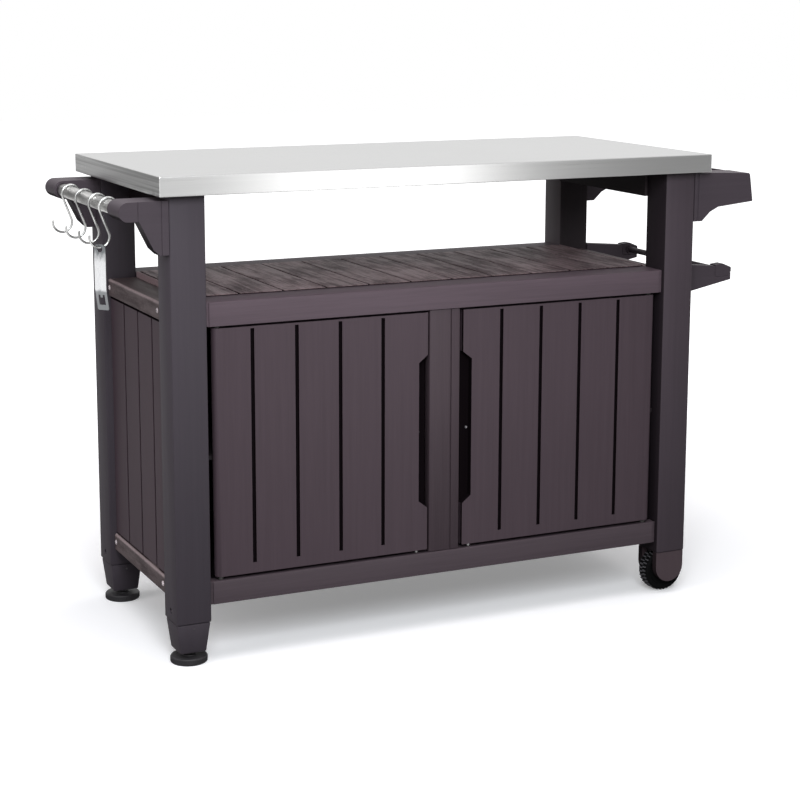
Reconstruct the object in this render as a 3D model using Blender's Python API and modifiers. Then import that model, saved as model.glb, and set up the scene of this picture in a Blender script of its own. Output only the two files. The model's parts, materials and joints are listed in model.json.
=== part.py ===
"""Portable outdoor table: steel worktop, planked cabinet, hanging bar, side rack and roll holder.

Run it with blender --background --python part.py, or from Blender's text editor. Lengths are in metres,
X runs to the right along the front, Y to the back and Z up.
"""

from math import acos, atan2, cos, pi, radians, sin, tan

import bmesh
import bpy
from mathutils import Matrix, Vector

# Gaps between pieces
SEAT = 0.0003
RUNNING = 0.0003

# Worktop
WORK_HEIGHT = 0.900
TOP_LENGTH = 1.139
TOP_DEPTH = 0.524
TOP_EDGE = 0.0355
TOP_SHEET = 0.0008
TOP_LIP = 0.012
TOP_CORNER = 0.005
CORE_THICKNESS = 0.012

# Legs
FRAME_LENGTH = 1.092
FRAME_DEPTH = 0.480
LEG_WIDTH = 0.067
LEG_DEPTH = 0.070
LEG_WALL = 0.004
LEG_ROUNDING = 0.003
FOOT_LEG_BOTTOM = 0.080
WHEEL_LEG_BOTTOM = 0.088
PLUG_HEIGHT = 0.030
RECESS_RADIUS = 0.0055
RECESS_DEPTH = 0.003
RECESS_Z = 0.100

# Screw feet and the sockets that hold them
SOCKET_BOTTOM = 0.0227
SOCKET_FOOT_WIDTH = 0.051
SOCKET_STEP = 0.0015
DISC_RADIUS = 0.0345
DISC_HEIGHT = 0.013
STEM_RADIUS = 0.006
STEM_TOP = 0.096

# Wheels
WHEEL_RADIUS = 0.045
WHEEL_WIDTH = 0.030
WHEEL_EDGE = 0.004
WHEEL_DISH = 0.003
WHEEL_HUB_RADIUS = 0.013
FORK_WIDTH = 0.064
FORK_BOTTOM = 0.025
FORK_CHEEK = 0.014
FORK_CLEARANCE = 0.004
AXLE_RADIUS = 0.004
AXLE_COVER = 0.003

# Cabinet frame
RAIL_SETBACK = 0.006
RAIL_BODY = 0.022
UPPER_RAIL_BOTTOM = 0.6263
DECK_TOP = 0.6707
LOWER_RAIL_BOTTOM = 0.1105
LOWER_RAIL_TOP = 0.1537
RAIL_END_STRIP = 0.006
RAIL_END_STEP = 0.002
RAIL_LEDGE = 0.012
RAIL_LEDGE_HEIGHT = 0.006
SIDE_RAIL_SETBACK = 0.010
SIDE_RAIL_BODY = 0.030
SIDE_RAIL_HEIGHT = 0.033
SIDE_RAIL_DROP = 0.0087
SIDE_RAIL_FLANGE = 0.010
SIDE_RAIL_ROUNDING = 0.004
LOWER_SIDE_RAIL_BOTTOM = 0.114

# Deck, floor and shelf
DECK_THICKNESS = 0.012
DECK_RISE = 0.0025
DECK_PLANKS = 11
DECK_GROOVE = 0.004
DECK_GROOVE_DEPTH = 0.003
DECK_RIM = 0.006
FLOOR_THICKNESS = 0.008
FLOOR_BELOW_RAIL = 0.010
SHELF_HEIGHT = 0.385
SHELF_THICKNESS = 0.008

# Panels and stiles
PANEL_THICKNESS = 0.008
SIDE_PANEL_SETBACK = 0.014
SIDE_PANEL_GAP = 0.003
SIDE_PANEL_PLANKS = 4
BACK_PANEL_PLANKS = 5
FACE_SETBACK = 0.008
STILE_LEFT = -0.0335
STILE_RIGHT = 0.030
STILE_THICKNESS = 0.022
STILE_GROOVE_X = 0.011
STILE_GROOVE = 0.003
BACK_STILE_WIDTH = 0.064
PANEL_GROOVE = 0.006
PANEL_GROOVE_DEPTH = 0.003

# Doors
DOOR_BOTTOM_GAP = 0.0063
DOOR_TOP_GAP = 0.0043
DOOR_MEETING_X = 0.0375
DOOR_LEG_GAP = 0.0135
DOOR_THICKNESS = 0.022
DOOR_PLANKS = 5
DOOR_GROOVE_SPREAD = 0.005
DOOR_GROOVE = 0.0075
DOOR_GROOVE_DEPTH = 0.005
DOOR_GROOVE_TOP_MARGIN = 0.004
DOOR_GROOVE_BOTTOM_MARGIN = 0.020
DOOR_GROOVE_SHIFT = {"left": -0.009, "right": -0.002}
DOOR_EDGE = 0.0012
DOOR_SKIN = 0.009
DOOR_BORDER = 0.030
GRIP_DEPTH = 0.014
GRIP_REACH = 0.0185
GRIP_BOTTOM = 0.243
GRIP_TOP = 0.541
GRIP_SLOPE = 0.0145
PIN_RADIUS = 0.003
PIN_IN_DOOR = 0.016
PIN_IN_RAIL = 0.014
PIN_COLLAR_RADIUS = 0.0065
CATCH_X = 0.056
CATCH_RADIUS = 0.004
CATCH_HEIGHT = 0.0045

# Aprons under the worktop
APRON_DROP = 0.088
APRON_SETBACK = 0.056
APRON_THICKNESS = 0.016

# Hanging bar and its brackets: reaches are measured from the legs' outer face, drops from the worktop
BAR_REACH = 0.0735
BAR_DROP = 0.0615
BAR_RADIUS = 0.0125
BAR_WALL = 0.0012
BRACKET_BOSS = 0.0175
BRACKET_WIDTH = 0.068
BRACKET_SOCKET_DEPTH = 0.030
BRACKET_WEB = 0.034
BRACKET_FOOT_DROP = 0.140
BRACKET_FOOT_REACH = 0.0175
BRACKET_BRACE_REACH = 0.0293
BRACKET_BRACE_DROP = 0.1287
BRACKET_BRACE_TOP_REACH = 0.054
BRACKET_SEAM_REACH = 0.056
BRACKET_STRIP_REACH = 0.0135
SEAM_WIDTH = 0.0012
SEAM_DEPTH = 0.0012

# Hooks and bottle opener
HOOK_WIRE = 0.0042
HOOK_UPPER_RADIUS = 0.017
HOOK_LOWER_RADIUS = 0.0185
HOOK_DROP = 0.0555
HOOK_LEAN = 0.0175
HOOK_UPPER_END = radians(-70)
HOOK_TIP_ANGLE = radians(-196)
HOOK_Y = (0.121, 0.030, -0.0555, -0.122)
HOOK_ARC_STEPS = 14
OPENER_LENGTH = 0.121
OPENER_WIDTH = 0.024
OPENER_THICKNESS = 0.0016
OPENER_HOLE_RADIUS = 0.0055
OPENER_HOLE_MARGIN = 0.0035
OPENER_TURN = radians(40)
OPENER_SLACK = 0.0006
OPENER_BEND = radians(12)
OPENER_BEND_FROM_TOP = 0.082
OPENER_CUT_WIDTH = 0.013
OPENER_CUT_HEIGHT = 0.019
OPENER_CUT_MARGIN = 0.010
OPENER_TOOTH = 0.005

# Rack on the right, measured as the bar is
RACK_WIDTH = 0.065
RACK_END_REACH = 0.1395
RACK_END_DROP = 0.100
RACK_TOP_END_REACH = 0.131
RACK_TOP_END_DROP = 0.043
RACK_TOP_DROP = 0.038
RACK_KNEE_REACH = 0.057
RACK_KNEE_DROP = 0.108
RACK_HIP_REACH = 0.038
RACK_HIP_DROP = 0.117
RACK_FOOT_REACH = 0.019
RACK_FOOT_DROP = 0.135
RACK_ROUNDING = 0.006
RACK_GROOVE_REACH = 0.008
RACK_GROOVE = 0.004
TRAY_WALL = 0.003
TRAY_INSET = 0.0015

# Roll holder on the right
ROLL_ARM_INNER_Y = 0.168
ROLL_ARM_THICKNESS = 0.020
ROLL_ARM_TOP_Z = 0.672
ROLL_ARM_BOTTOM_Z = 0.609
ROLL_ARM_END_REACH = 0.1295
ROLL_ARM_END_Z = 0.634
ROLL_SEAT_REACH = 0.091
ROLL_SEAT_Z = 0.6415
ROLL_SEAT_TOP_Z = 0.664
ROLL_LIP = 0.004
ROLL_LIP_HEIGHT = 0.008
ROLL_CAP_TOP_Z = 0.668
ROLL_CAP_END_Z = 0.6595
ROLL_ROD_REACH = 0.109
ROLL_ROD_Z = 0.653
ROLL_ROD_RADIUS = 0.006
ROLL_COLLAR_RADIUS = 0.009
ROLL_COLLAR = 0.003

# Places worked out from the sizes above
TOP_UNDERSIDE = WORK_HEIGHT - TOP_EDGE
CORE_BOTTOM = WORK_HEIGHT - TOP_SHEET - SEAT - CORE_THICKNESS
LEG_TOP = CORE_BOTTOM - SEAT
OUTER_X = FRAME_LENGTH / 2
OUTER_Y = FRAME_DEPTH / 2
INNER_X = OUTER_X - LEG_WIDTH
INNER_Y = OUTER_Y - LEG_DEPTH
LEG_X = OUTER_X - LEG_WIDTH / 2
LEG_Y = OUTER_Y - LEG_DEPTH / 2
RAIL_Y = OUTER_Y - RAIL_SETBACK
SIDE_RAIL_X = OUTER_X - SIDE_RAIL_SETBACK
FACE_Y = OUTER_Y - FACE_SETBACK
DOOR_BOTTOM = LOWER_RAIL_TOP + DOOR_BOTTOM_GAP
DOOR_TOP = UPPER_RAIL_BOTTOM - DOOR_TOP_GAP
DOOR_HINGE_X = INNER_X - DOOR_LEG_GAP
DOOR_PLANK_PITCH = (DOOR_HINGE_X - DOOR_MEETING_X + DOOR_GROOVE_SPREAD) / DOOR_PLANKS
HINGE_X = DOOR_HINGE_X - DOOR_THICKNESS / 2
HINGE_Y = FACE_Y - DOOR_THICKNESS / 2
APRON_BOTTOM = WORK_HEIGHT - APRON_DROP
BAR_X = -OUTER_X - BAR_REACH
BAR_Z = WORK_HEIGHT - BAR_DROP
BRACKET_FOOT_Z = WORK_HEIGHT - BRACKET_FOOT_DROP
BRACKET_BRACE_X = -OUTER_X - BRACKET_BRACE_REACH
BRACKET_BRACE_Z = WORK_HEIGHT - BRACKET_BRACE_DROP
BRACKET_BRACE_TOP_X = -OUTER_X - BRACKET_BRACE_TOP_REACH
BRACKET_SEAM_X = -OUTER_X - BRACKET_SEAM_REACH
BRACKET_STRIP_X = -OUTER_X - BRACKET_STRIP_REACH
BRACKET_INNER_Y = OUTER_Y - BRACKET_WIDTH
RACK_INNER_Y = OUTER_Y - RACK_WIDTH
RACK_END_X = OUTER_X + RACK_END_REACH
RACK_END_Z = WORK_HEIGHT - RACK_END_DROP
RACK_TOP_END_X = OUTER_X + RACK_TOP_END_REACH
RACK_TOP_END_Z = WORK_HEIGHT - RACK_TOP_END_DROP
RACK_TOP_Z = WORK_HEIGHT - RACK_TOP_DROP
RACK_KNEE_X = OUTER_X + RACK_KNEE_REACH
RACK_KNEE_Z = WORK_HEIGHT - RACK_KNEE_DROP
RACK_HIP_X = OUTER_X + RACK_HIP_REACH
RACK_HIP_Z = WORK_HEIGHT - RACK_HIP_DROP
RACK_FOOT_X = OUTER_X + RACK_FOOT_REACH
RACK_FOOT_Z = WORK_HEIGHT - RACK_FOOT_DROP
RACK_GROOVE_X = OUTER_X + RACK_GROOVE_REACH
ROLL_ARM_END_X = OUTER_X + ROLL_ARM_END_REACH
ROLL_SEAT_X = OUTER_X + ROLL_SEAT_REACH
ROLL_ROD_X = OUTER_X + ROLL_ROD_REACH

FRONT, BACK = -1, 1
LEFT, RIGHT = -1, 1
END_NAME = {FRONT: "front", BACK: "back"}
SIDE_NAME = {LEFT: "left", RIGHT: "right"}


# Scene, collections and materials


def clear_scene():
    for obj in list(bpy.data.objects):
        bpy.data.objects.remove(obj, do_unlink=True)


def new_collection(name):
    collection = bpy.data.collections.new(name)
    bpy.context.scene.collection.children.link(collection)
    return collection


def new_root(name, x):
    root = bpy.data.objects.new(name, None)
    root.location.x = x
    bpy.context.scene.collection.objects.link(root)
    return root


def material(name, colour, roughness, metallic=0.0):
    """One Principled material for each object, so that a part can be recoloured by itself."""
    made = bpy.data.materials.new(name)
    made.use_nodes = True
    shader = made.node_tree.nodes["Principled BSDF"]
    shader.inputs["Base Color"].default_value = (*colour, 1.0)
    shader.inputs["Roughness"].default_value = roughness
    shader.inputs["Metallic"].default_value = metallic
    return made


FINISHES = {
    "brushed_steel": ((0.62, 0.62, 0.61), 0.34, 1.0),
    "bright_steel": ((0.66, 0.66, 0.66), 0.25, 1.0),
    "frame_brown": ((0.075, 0.058, 0.066), 0.60, 0.0),
    "plank_brown": ((0.068, 0.050, 0.056), 0.66, 0.0),
    "deck_brown": ((0.105, 0.078, 0.080), 0.70, 0.0),
    "black_plastic": ((0.012, 0.012, 0.013), 0.55, 0.0),
    "black_tread": ((0.010, 0.010, 0.011), 0.80, 0.0),
    "pale_board": ((0.42, 0.36, 0.29), 0.80, 0.0),
}


def finish(obj, kind):
    obj.data.materials.clear()
    obj.data.materials.append(material(f"{obj.name}_{kind}", *FINISHES[kind]))


def keep(obj, kind, parts, root):
    """Makes the object a part: in the parts' collection, under the root and in its finish."""
    parts.objects.link(obj)
    obj.parent = obj.parent or root
    finish(obj, kind)
    return obj


def as_cutter(obj, cutters, root):
    cutters.objects.link(obj)
    obj.parent = obj.parent or root
    obj.hide_render = True
    obj.display_type = "WIRE"
    return obj


# Shapes


def mesh_object(name, build):
    mesh = bpy.data.meshes.new(name)
    shape = bmesh.new()
    build(shape)
    bmesh.ops.recalc_face_normals(shape, faces=shape.faces)
    shape.to_mesh(mesh)
    shape.free()
    return bpy.data.objects.new(name, mesh)


def box(name, x, y, z):
    """A box from three (low, high) pairs, with its origin at its centre."""
    low = Vector((min(x), min(y), min(z)))
    high = Vector((max(x), max(y), max(z)))
    size = high - low

    def build(shape):
        bmesh.ops.create_cube(shape, size=1.0)
        bmesh.ops.scale(shape, verts=shape.verts, vec=size)

    obj = mesh_object(name, build)
    obj.location = (low + high) / 2
    return obj


def rod(name, radius, ends, axis, centre, sides=24):
    """A solid cylinder along an axis, between two places on that axis."""
    turn = {"X": Matrix.Rotation(pi / 2, 4, "Y"), "Y": Matrix.Rotation(-pi / 2, 4, "X"), "Z": Matrix()}[axis]
    low, high = min(ends), max(ends)

    def build(shape):
        bmesh.ops.create_cone(
            shape, cap_ends=True, segments=sides, radius1=radius, radius2=radius, depth=high - low
        )
        bmesh.ops.transform(shape, matrix=turn, verts=shape.verts)

    obj = mesh_object(name, build)
    place = Vector(centre)
    place["XYZ".index(axis)] = (low + high) / 2
    obj.location = place
    smooth(obj)
    return obj


def smooth(obj, angle=40):
    """Shades round faces smooth and keeps the edges that are sharper than the angle."""
    obj.data.shade_smooth()
    obj.data.set_sharp_from_angle(angle=radians(angle))


def arc(centre, radius, start, end, steps):
    """Points on an arc, both ends included."""
    turns = [start + (end - start) * step / steps for step in range(steps + 1)]
    return [(centre[0] + radius * cos(turn), centre[1] + radius * sin(turn)) for turn in turns]


def filleted(points, rounded, steps=4):
    """The outline with the corners named in rounded, {index: radius}, turned into arcs."""
    made = []
    for index, corner in enumerate(points):
        if index not in rounded:
            made.append(corner)
            continue
        here = Vector(corner)
        back = (Vector(points[index - 1]) - here).normalized()
        on = (Vector(points[(index + 1) % len(points)]) - here).normalized()
        half = acos(max(-1.0, min(1.0, back.dot(on)))) / 2
        centre = here + (back + on).normalized() * rounded[index] / sin(half)
        reach = rounded[index] / tan(half)
        start = here + back * reach - centre
        end = here + on * reach - centre
        first = atan2(start.y, start.x)
        sweep = (atan2(end.y, end.x) - first + pi) % (2 * pi) - pi
        made += arc(centre, rounded[index], first, first + sweep, steps)
    return made


PLANE_TURN = {"XY": (0, 0, 0), "XZ": (pi / 2, 0, 0), "YZ": (pi / 2, 0, pi / 2)}
PLANE_NORMAL = {"XY": "Z", "XZ": "Y", "YZ": "X"}


def flat_mesh(name, outlines, thickness):
    """A mesh of flat outlines, holes included, made by a filled 2D curve and given a thickness."""
    curve = bpy.data.curves.new(name, "CURVE")
    curve.dimensions = "2D"
    curve.fill_mode = "BOTH"
    curve.extrude = thickness / 2
    for outline in outlines:
        spline = curve.splines.new("POLY")
        spline.points.add(len(outline) - 1)
        for point, (across, up) in zip(spline.points, outline):
            point.co = (across, up, 0.0, 1.0)
        spline.use_cyclic_u = True
    drawn = bpy.data.objects.new(name, curve)
    bpy.context.scene.collection.objects.link(drawn)
    bpy.context.view_layer.update()
    mesh = bpy.data.meshes.new_from_object(drawn.evaluated_get(bpy.context.evaluated_depsgraph_get()))
    bpy.data.objects.remove(drawn, do_unlink=True)
    shape = bmesh.new()
    shape.from_mesh(mesh)
    bmesh.ops.remove_doubles(shape, verts=shape.verts, dist=1e-6)
    bmesh.ops.recalc_face_normals(shape, faces=shape.faces)
    shape.to_mesh(mesh)
    shape.free()
    return mesh


def plate(name, outline, span, plane="XZ", holes=()):
    """A flat outline in the plane, as thick as the span along the plane's normal."""
    obj = bpy.data.objects.new(name, flat_mesh(name, [outline, *holes], abs(span[1] - span[0])))
    obj.rotation_euler = PLANE_TURN[plane]
    obj.location["XYZ".index(PLANE_NORMAL[plane])] = sum(span) / 2
    smooth(obj)
    return obj


def turned(name, profile, axis, centre, sides=32):
    """A closed ring profile of (radius, along) points, or a solid one that ends on the axis, spun round."""
    closed = all(radius > 0 for radius, _ in profile)

    def build(shape):
        verts = [shape.verts.new((radius, 0, along)) for radius, along in profile]
        edges = [shape.edges.new(pair) for pair in zip(verts, verts[1:])]
        if closed:
            edges.append(shape.edges.new((verts[-1], verts[0])))

    obj = mesh_object(name, build)
    spin = obj.modifiers.new("spin", "SCREW")
    spin.axis = "Z"
    spin.steps = spin.render_steps = sides
    spin.use_merge_vertices = True
    spin.merge_threshold = 0.00002
    spin.use_smooth_shade = True
    obj.rotation_euler = {"Z": (0, 0, 0), "Y": (-pi / 2, 0, 0)}[axis]
    obj.location = centre
    return obj


def wire(name, points, radius):
    """A round wire through 3D points, with closed ends."""
    curve = bpy.data.curves.new(name, "CURVE")
    curve.dimensions = "3D"
    curve.bevel_depth = radius
    curve.bevel_resolution = 2
    curve.use_fill_caps = True
    spline = curve.splines.new("POLY")
    spline.points.add(len(points) - 1)
    for point, place in zip(spline.points, points):
        point.co = (*place, 1.0)
    return bpy.data.objects.new(name, curve)


# Modifiers


def soften(obj, width, segments=2, angle=35):
    """Rounds the edges that are sharper than the angle."""
    bevel = obj.modifiers.new("soften", "BEVEL")
    bevel.width = width
    bevel.segments = segments
    bevel.limit_method = "ANGLE"
    bevel.angle_limit = radians(angle)
    return obj


def boolean(obj, other, operation):
    step = obj.modifiers.new(f"{operation.lower()}_{other.name}", "BOOLEAN")
    step.operation = operation
    step.solver = "EXACT"
    step.object = other
    return obj


def repeated(obj, count, step):
    """Copies along a step, the first where the object stands."""
    array = obj.modifiers.new("repeat", "ARRAY")
    array.count = count
    array.use_relative_offset = False
    array.use_constant_offset = True
    array.constant_offset_displace = step
    return obj


class Table:
    """Holds the collections and the root, and adds parts, cuts and joins."""

    def __init__(self, offset):
        self.parts = new_collection("portable_table")
        self.cutters = new_collection("table_cutters")
        self.root = new_root("table_root", offset)

    def add(self, obj, kind):
        return keep(obj, kind, self.parts, self.root)

    def cut(self, obj, cutter):
        return boolean(obj, as_cutter(cutter, self.cutters, self.root), "DIFFERENCE")

    def join(self, obj, piece):
        return boolean(obj, as_cutter(piece, self.cutters, self.root), "UNION")


# Worktop


def add_worktop(table):
    half_x = TOP_LENGTH / 2
    half_y = TOP_DEPTH / 2
    sheet = box("worktop_sheet", (-half_x, half_x), (-half_y, half_y), (TOP_UNDERSIDE, WORK_HEIGHT))
    soften(sheet, TOP_CORNER * 0.3, segments=2)
    inside_x = half_x - TOP_SHEET
    inside_y = half_y - TOP_SHEET
    hollow = box(
        "cut_worktop_hollow",
        (-inside_x, inside_x),
        (-inside_y, inside_y),
        (TOP_UNDERSIDE + TOP_SHEET, WORK_HEIGHT - TOP_SHEET),
    )
    table.cut(sheet, soften(hollow, TOP_CORNER * 0.3 - TOP_SHEET / 2, segments=2))
    mouth = box(
        "cut_worktop_mouth",
        (TOP_LIP - half_x, half_x - TOP_LIP),
        (TOP_LIP - half_y, half_y - TOP_LIP),
        (TOP_UNDERSIDE - TOP_EDGE, TOP_UNDERSIDE + TOP_EDGE / 2),
    )
    table.cut(sheet, mouth)
    table.add(sheet, "brushed_steel")
    core = box(
        "worktop_core",
        (SEAT - inside_x, inside_x - SEAT),
        (SEAT - inside_y, inside_y - SEAT),
        (CORE_BOTTOM, CORE_BOTTOM + CORE_THICKNESS),
    )
    table.add(soften(core, TOP_CORNER * 0.3, segments=1), "pale_board")


def add_aprons(table):
    for side in (LEFT, RIGHT):
        outer = side * (OUTER_X - APRON_SETBACK)
        inner = outer - side * APRON_THICKNESS
        along = INNER_Y - SEAT
        apron = box(f"top_apron_{SIDE_NAME[side]}", (inner, outer), (-along, along), (APRON_BOTTOM, LEG_TOP))
        table.add(soften(apron, 0.001, segments=1), "frame_brown")


# Legs, feet and wheels


def add_leg(table, side, end):
    name = f"leg_{END_NAME[end]}_{SIDE_NAME[side]}"
    bottom = FOOT_LEG_BOTTOM if side == LEFT else WHEEL_LEG_BOTTOM
    x = side * LEG_X
    y = end * LEG_Y
    half_x = LEG_WIDTH / 2
    half_y = LEG_DEPTH / 2
    leg = box(name, (x - half_x, x + half_x), (y - half_y, y + half_y), (bottom, LEG_TOP))
    soften(leg, LEG_ROUNDING, segments=2)
    bore = box(
        f"cut_{name}",
        (x - half_x + LEG_WALL, x + half_x - LEG_WALL),
        (y - half_y + LEG_WALL, y + half_y - LEG_WALL),
        (bottom - LEG_WALL, LEG_TOP - LEG_WALL),
    )
    table.cut(leg, bore)
    if side == LEFT:
        faces = (-OUTER_X - 0.01, RECESS_DEPTH - OUTER_X)
        table.cut(leg, rod(f"cut_recess_{name}", RECESS_RADIUS, faces, "X", (0, y, RECESS_Z), sides=20))
    return table.add(leg, "frame_brown")


def leg_plug(name, side, end, bottom, low, high):
    """The block of a socket or a fork that fills the leg's open end."""
    half_x = LEG_WIDTH / 2 - LEG_WALL - SEAT
    half_y = LEG_DEPTH / 2 - LEG_WALL - SEAT
    x = side * LEG_X
    y = end * LEG_Y
    return box(name, (x - half_x, x + half_x), (y - half_y, y + half_y), (bottom + low, bottom + high))


def add_foot(table, end):
    x = -LEG_X
    y = end * LEG_Y
    top = FOOT_LEG_BOTTOM - SEAT
    half_x = LEG_WIDTH / 2 - SOCKET_STEP
    half_y = LEG_DEPTH / 2 - SOCKET_STEP
    socket = box(
        f"foot_socket_{END_NAME[end]}",
        (x - half_x, x + half_x),
        (y - half_y, y + half_y),
        (SOCKET_BOTTOM, top),
    )
    shrink = SOCKET_FOOT_WIDTH / 2 / half_x
    for vertex in socket.data.vertices:
        if vertex.co.z < 0:
            vertex.co.x *= shrink
            vertex.co.y *= shrink
    soften(socket, LEG_ROUNDING, segments=2)
    plug = leg_plug(f"plug_foot_{END_NAME[end]}", LEFT, end, FOOT_LEG_BOTTOM, -0.010, PLUG_HEIGHT)
    table.join(socket, plug)
    bore = rod(
        f"cut_foot_{END_NAME[end]}",
        STEM_RADIUS + RUNNING,
        (0, FOOT_LEG_BOTTOM + 2 * PLUG_HEIGHT),
        "Z",
        (x, y, 0),
    )
    table.cut(socket, bore)
    table.add(socket, "frame_brown")
    edge = DISC_HEIGHT * 0.25
    profile = [
        (0, STEM_TOP),
        (STEM_RADIUS - 0.001, STEM_TOP),
        (STEM_RADIUS, STEM_TOP - 0.001),
        (STEM_RADIUS, DISC_HEIGHT + 0.003),
        (STEM_RADIUS + 0.005, DISC_HEIGHT + 0.002),
        (STEM_RADIUS + 0.007, DISC_HEIGHT),
        (DISC_RADIUS - edge, DISC_HEIGHT),
        (DISC_RADIUS, DISC_HEIGHT - edge),
        (DISC_RADIUS, 0.002),
        (DISC_RADIUS - 0.002, 0),
        (0, 0),
    ]
    foot = turned(f"levelling_foot_{END_NAME[end]}", profile, "Z", (x, y, 0), sides=36)
    table.add(foot, "black_plastic")


def fork_outline():
    """The fork seen from the front: straight sides over a half-round foot."""
    radius = FORK_WIDTH / 2
    centre = (LEG_X, FORK_BOTTOM + radius)
    top = WHEEL_LEG_BOTTOM - SEAT
    foot = arc(centre, radius, pi, 2 * pi, 12)
    return [(LEG_X + radius, top), (LEG_X - radius, top)] + foot


def add_wheel(table, end):
    name = END_NAME[end]
    y = end * LEG_Y
    half_y = LEG_DEPTH / 2 - SOCKET_STEP
    fork = plate(f"wheel_fork_{name}", fork_outline(), (y - half_y, y + half_y))
    plug = leg_plug(f"plug_fork_{name}", RIGHT, end, WHEEL_LEG_BOTTOM, -0.010, PLUG_HEIGHT)
    table.join(fork, plug)
    gap = half_y - FORK_CHEEK
    top = 2 * WHEEL_RADIUS + FORK_CLEARANCE
    table.cut(fork, box(f"cut_fork_{name}", (LEG_X - 0.1, LEG_X + 0.1), (y - gap, y + gap), (0, top)))
    hole = rod(
        f"cut_axle_{name}",
        AXLE_RADIUS + SEAT,
        (y - end * LEG_DEPTH, y + end * (half_y - AXLE_COVER)),
        "Y",
        (LEG_X, y, WHEEL_RADIUS),
    )
    table.cut(fork, hole)
    table.add(fork, "frame_brown")
    centre = (LEG_X, y, WHEEL_RADIUS)
    axle_ends = (y - end * half_y, y + end * (half_y - AXLE_COVER - SEAT))
    axle = rod(f"wheel_axle_{name}", AXLE_RADIUS, axle_ends, "Y", centre)
    table.add(axle, "bright_steel")
    table.add(turned(f"wheel_{name}", wheel_profile(gap), "Y", centre, sides=40), "black_tread")


def wheel_profile(gap):
    """Half section of a wheel: bore, hub, dished sides and a tread with turned edges."""
    bore = AXLE_RADIUS + RUNNING
    half = WHEEL_WIDTH / 2
    hub = gap - RUNNING
    dish = half - WHEEL_DISH
    rim = WHEEL_RADIUS - 0.010
    side = [
        (bore, hub),
        (WHEEL_HUB_RADIUS, hub),
        (WHEEL_HUB_RADIUS, dish),
        (rim - 0.001, dish),
        (rim, half),
        (WHEEL_RADIUS - WHEEL_EDGE, half),
        (WHEEL_RADIUS, half - WHEEL_EDGE),
    ]
    return side + [(radius, -along) for radius, along in reversed(side)]


# Cabinet frame


def upper_rail_outline(end):
    """Section of the front or back rail that carries the deck: body, flange and ledge."""
    body = RAIL_Y - RAIL_BODY
    ledge_top = DECK_TOP - DECK_THICKNESS - SEAT
    ledge_bottom = ledge_top - RAIL_LEDGE_HEIGHT
    inward = [
        (RAIL_Y, UPPER_RAIL_BOTTOM),
        (RAIL_Y, DECK_TOP),
        (INNER_Y, DECK_TOP),
        (INNER_Y, ledge_top),
        (INNER_Y - RAIL_LEDGE, ledge_top),
        (INNER_Y - RAIL_LEDGE, ledge_bottom),
        (body, ledge_bottom),
        (body, UPPER_RAIL_BOTTOM),
    ]
    return [(end * y, z) for y, z in filleted(inward, {1: 0.002}, steps=2)]


def lower_rail_outline(end):
    """Section of the front or back rail that carries the floor."""
    body = RAIL_Y - RAIL_BODY
    ledge_top = LOWER_RAIL_TOP - FLOOR_BELOW_RAIL - FLOOR_THICKNESS - SEAT
    inward = [
        (RAIL_Y, LOWER_RAIL_BOTTOM),
        (RAIL_Y, LOWER_RAIL_TOP),
        (body, LOWER_RAIL_TOP),
        (body, ledge_top),
        (body - RAIL_LEDGE, ledge_top),
        (body - RAIL_LEDGE, LOWER_RAIL_BOTTOM),
    ]
    return [(end * y, z) for y, z in filleted(inward, {1: 0.002}, steps=2)]


def add_long_rails(table, end):
    half = INNER_X - SEAT
    for level, outline in (("upper", upper_rail_outline(end)), ("lower", lower_rail_outline(end))):
        name = f"{level}_rail_{END_NAME[end]}"
        rail = plate(name, outline, (-half, half), "YZ")
        bottom = min(z for _, z in outline) - 0.01
        top = max(z for _, z in outline) + 0.01
        strip = box(
            f"cut_{name}",
            (-half - 0.01, RAIL_END_STRIP - half),
            (end * (RAIL_Y - RAIL_END_STEP), end * (RAIL_Y + 0.01)),
            (bottom, top),
        )
        table.cut(rail, repeated(strip, 2, (2 * half + 0.01 - RAIL_END_STRIP, 0, 0)))
        if end == FRONT:
            cut_pin_holes(table, rail, level)
        table.add(rail, "plank_brown")


def cut_pin_holes(table, rail, level):
    face = UPPER_RAIL_BOTTOM if level == "upper" else LOWER_RAIL_TOP
    into = 1 if level == "upper" else -1
    depth = PIN_IN_RAIL + SEAT
    for side in (LEFT, RIGHT):
        hole = rod(
            f"cut_pin_{level}_{SIDE_NAME[side]}",
            PIN_RADIUS + SEAT,
            (face - into * 0.01, face + into * depth),
            "Z",
            (side * HINGE_X, -HINGE_Y, 0),
            sides=16,
        )
        table.cut(rail, hole)


def add_side_rails(table, side):
    name = SIDE_NAME[side]
    along = INNER_Y - SEAT
    top = DECK_TOP - SIDE_RAIL_DROP
    bottom = top - SIDE_RAIL_HEIGHT
    body = SIDE_RAIL_X - SIDE_RAIL_BODY
    upper = [
        (SIDE_RAIL_X, bottom),
        (SIDE_RAIL_X, top),
        (INNER_X + SEAT, top),
        (INNER_X + SEAT, top - SIDE_RAIL_FLANGE),
        (body, top - SIDE_RAIL_FLANGE),
        (body, bottom),
    ]
    lower_top = LOWER_SIDE_RAIL_BOTTOM + SIDE_RAIL_HEIGHT
    lower = [
        (SIDE_RAIL_X, LOWER_SIDE_RAIL_BOTTOM),
        (SIDE_RAIL_X, lower_top),
        (body, lower_top),
        (body, LOWER_SIDE_RAIL_BOTTOM),
    ]
    for level, outline in (("upper", upper), ("lower", lower)):
        rounded = filleted(outline, {1: SIDE_RAIL_ROUNDING}, steps=4)
        shape = [(side * x, z) for x, z in rounded]
        table.add(plate(f"{level}_rail_{name}", shape, (-along, along)), "plank_brown")


# Deck, floor and shelf


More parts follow.
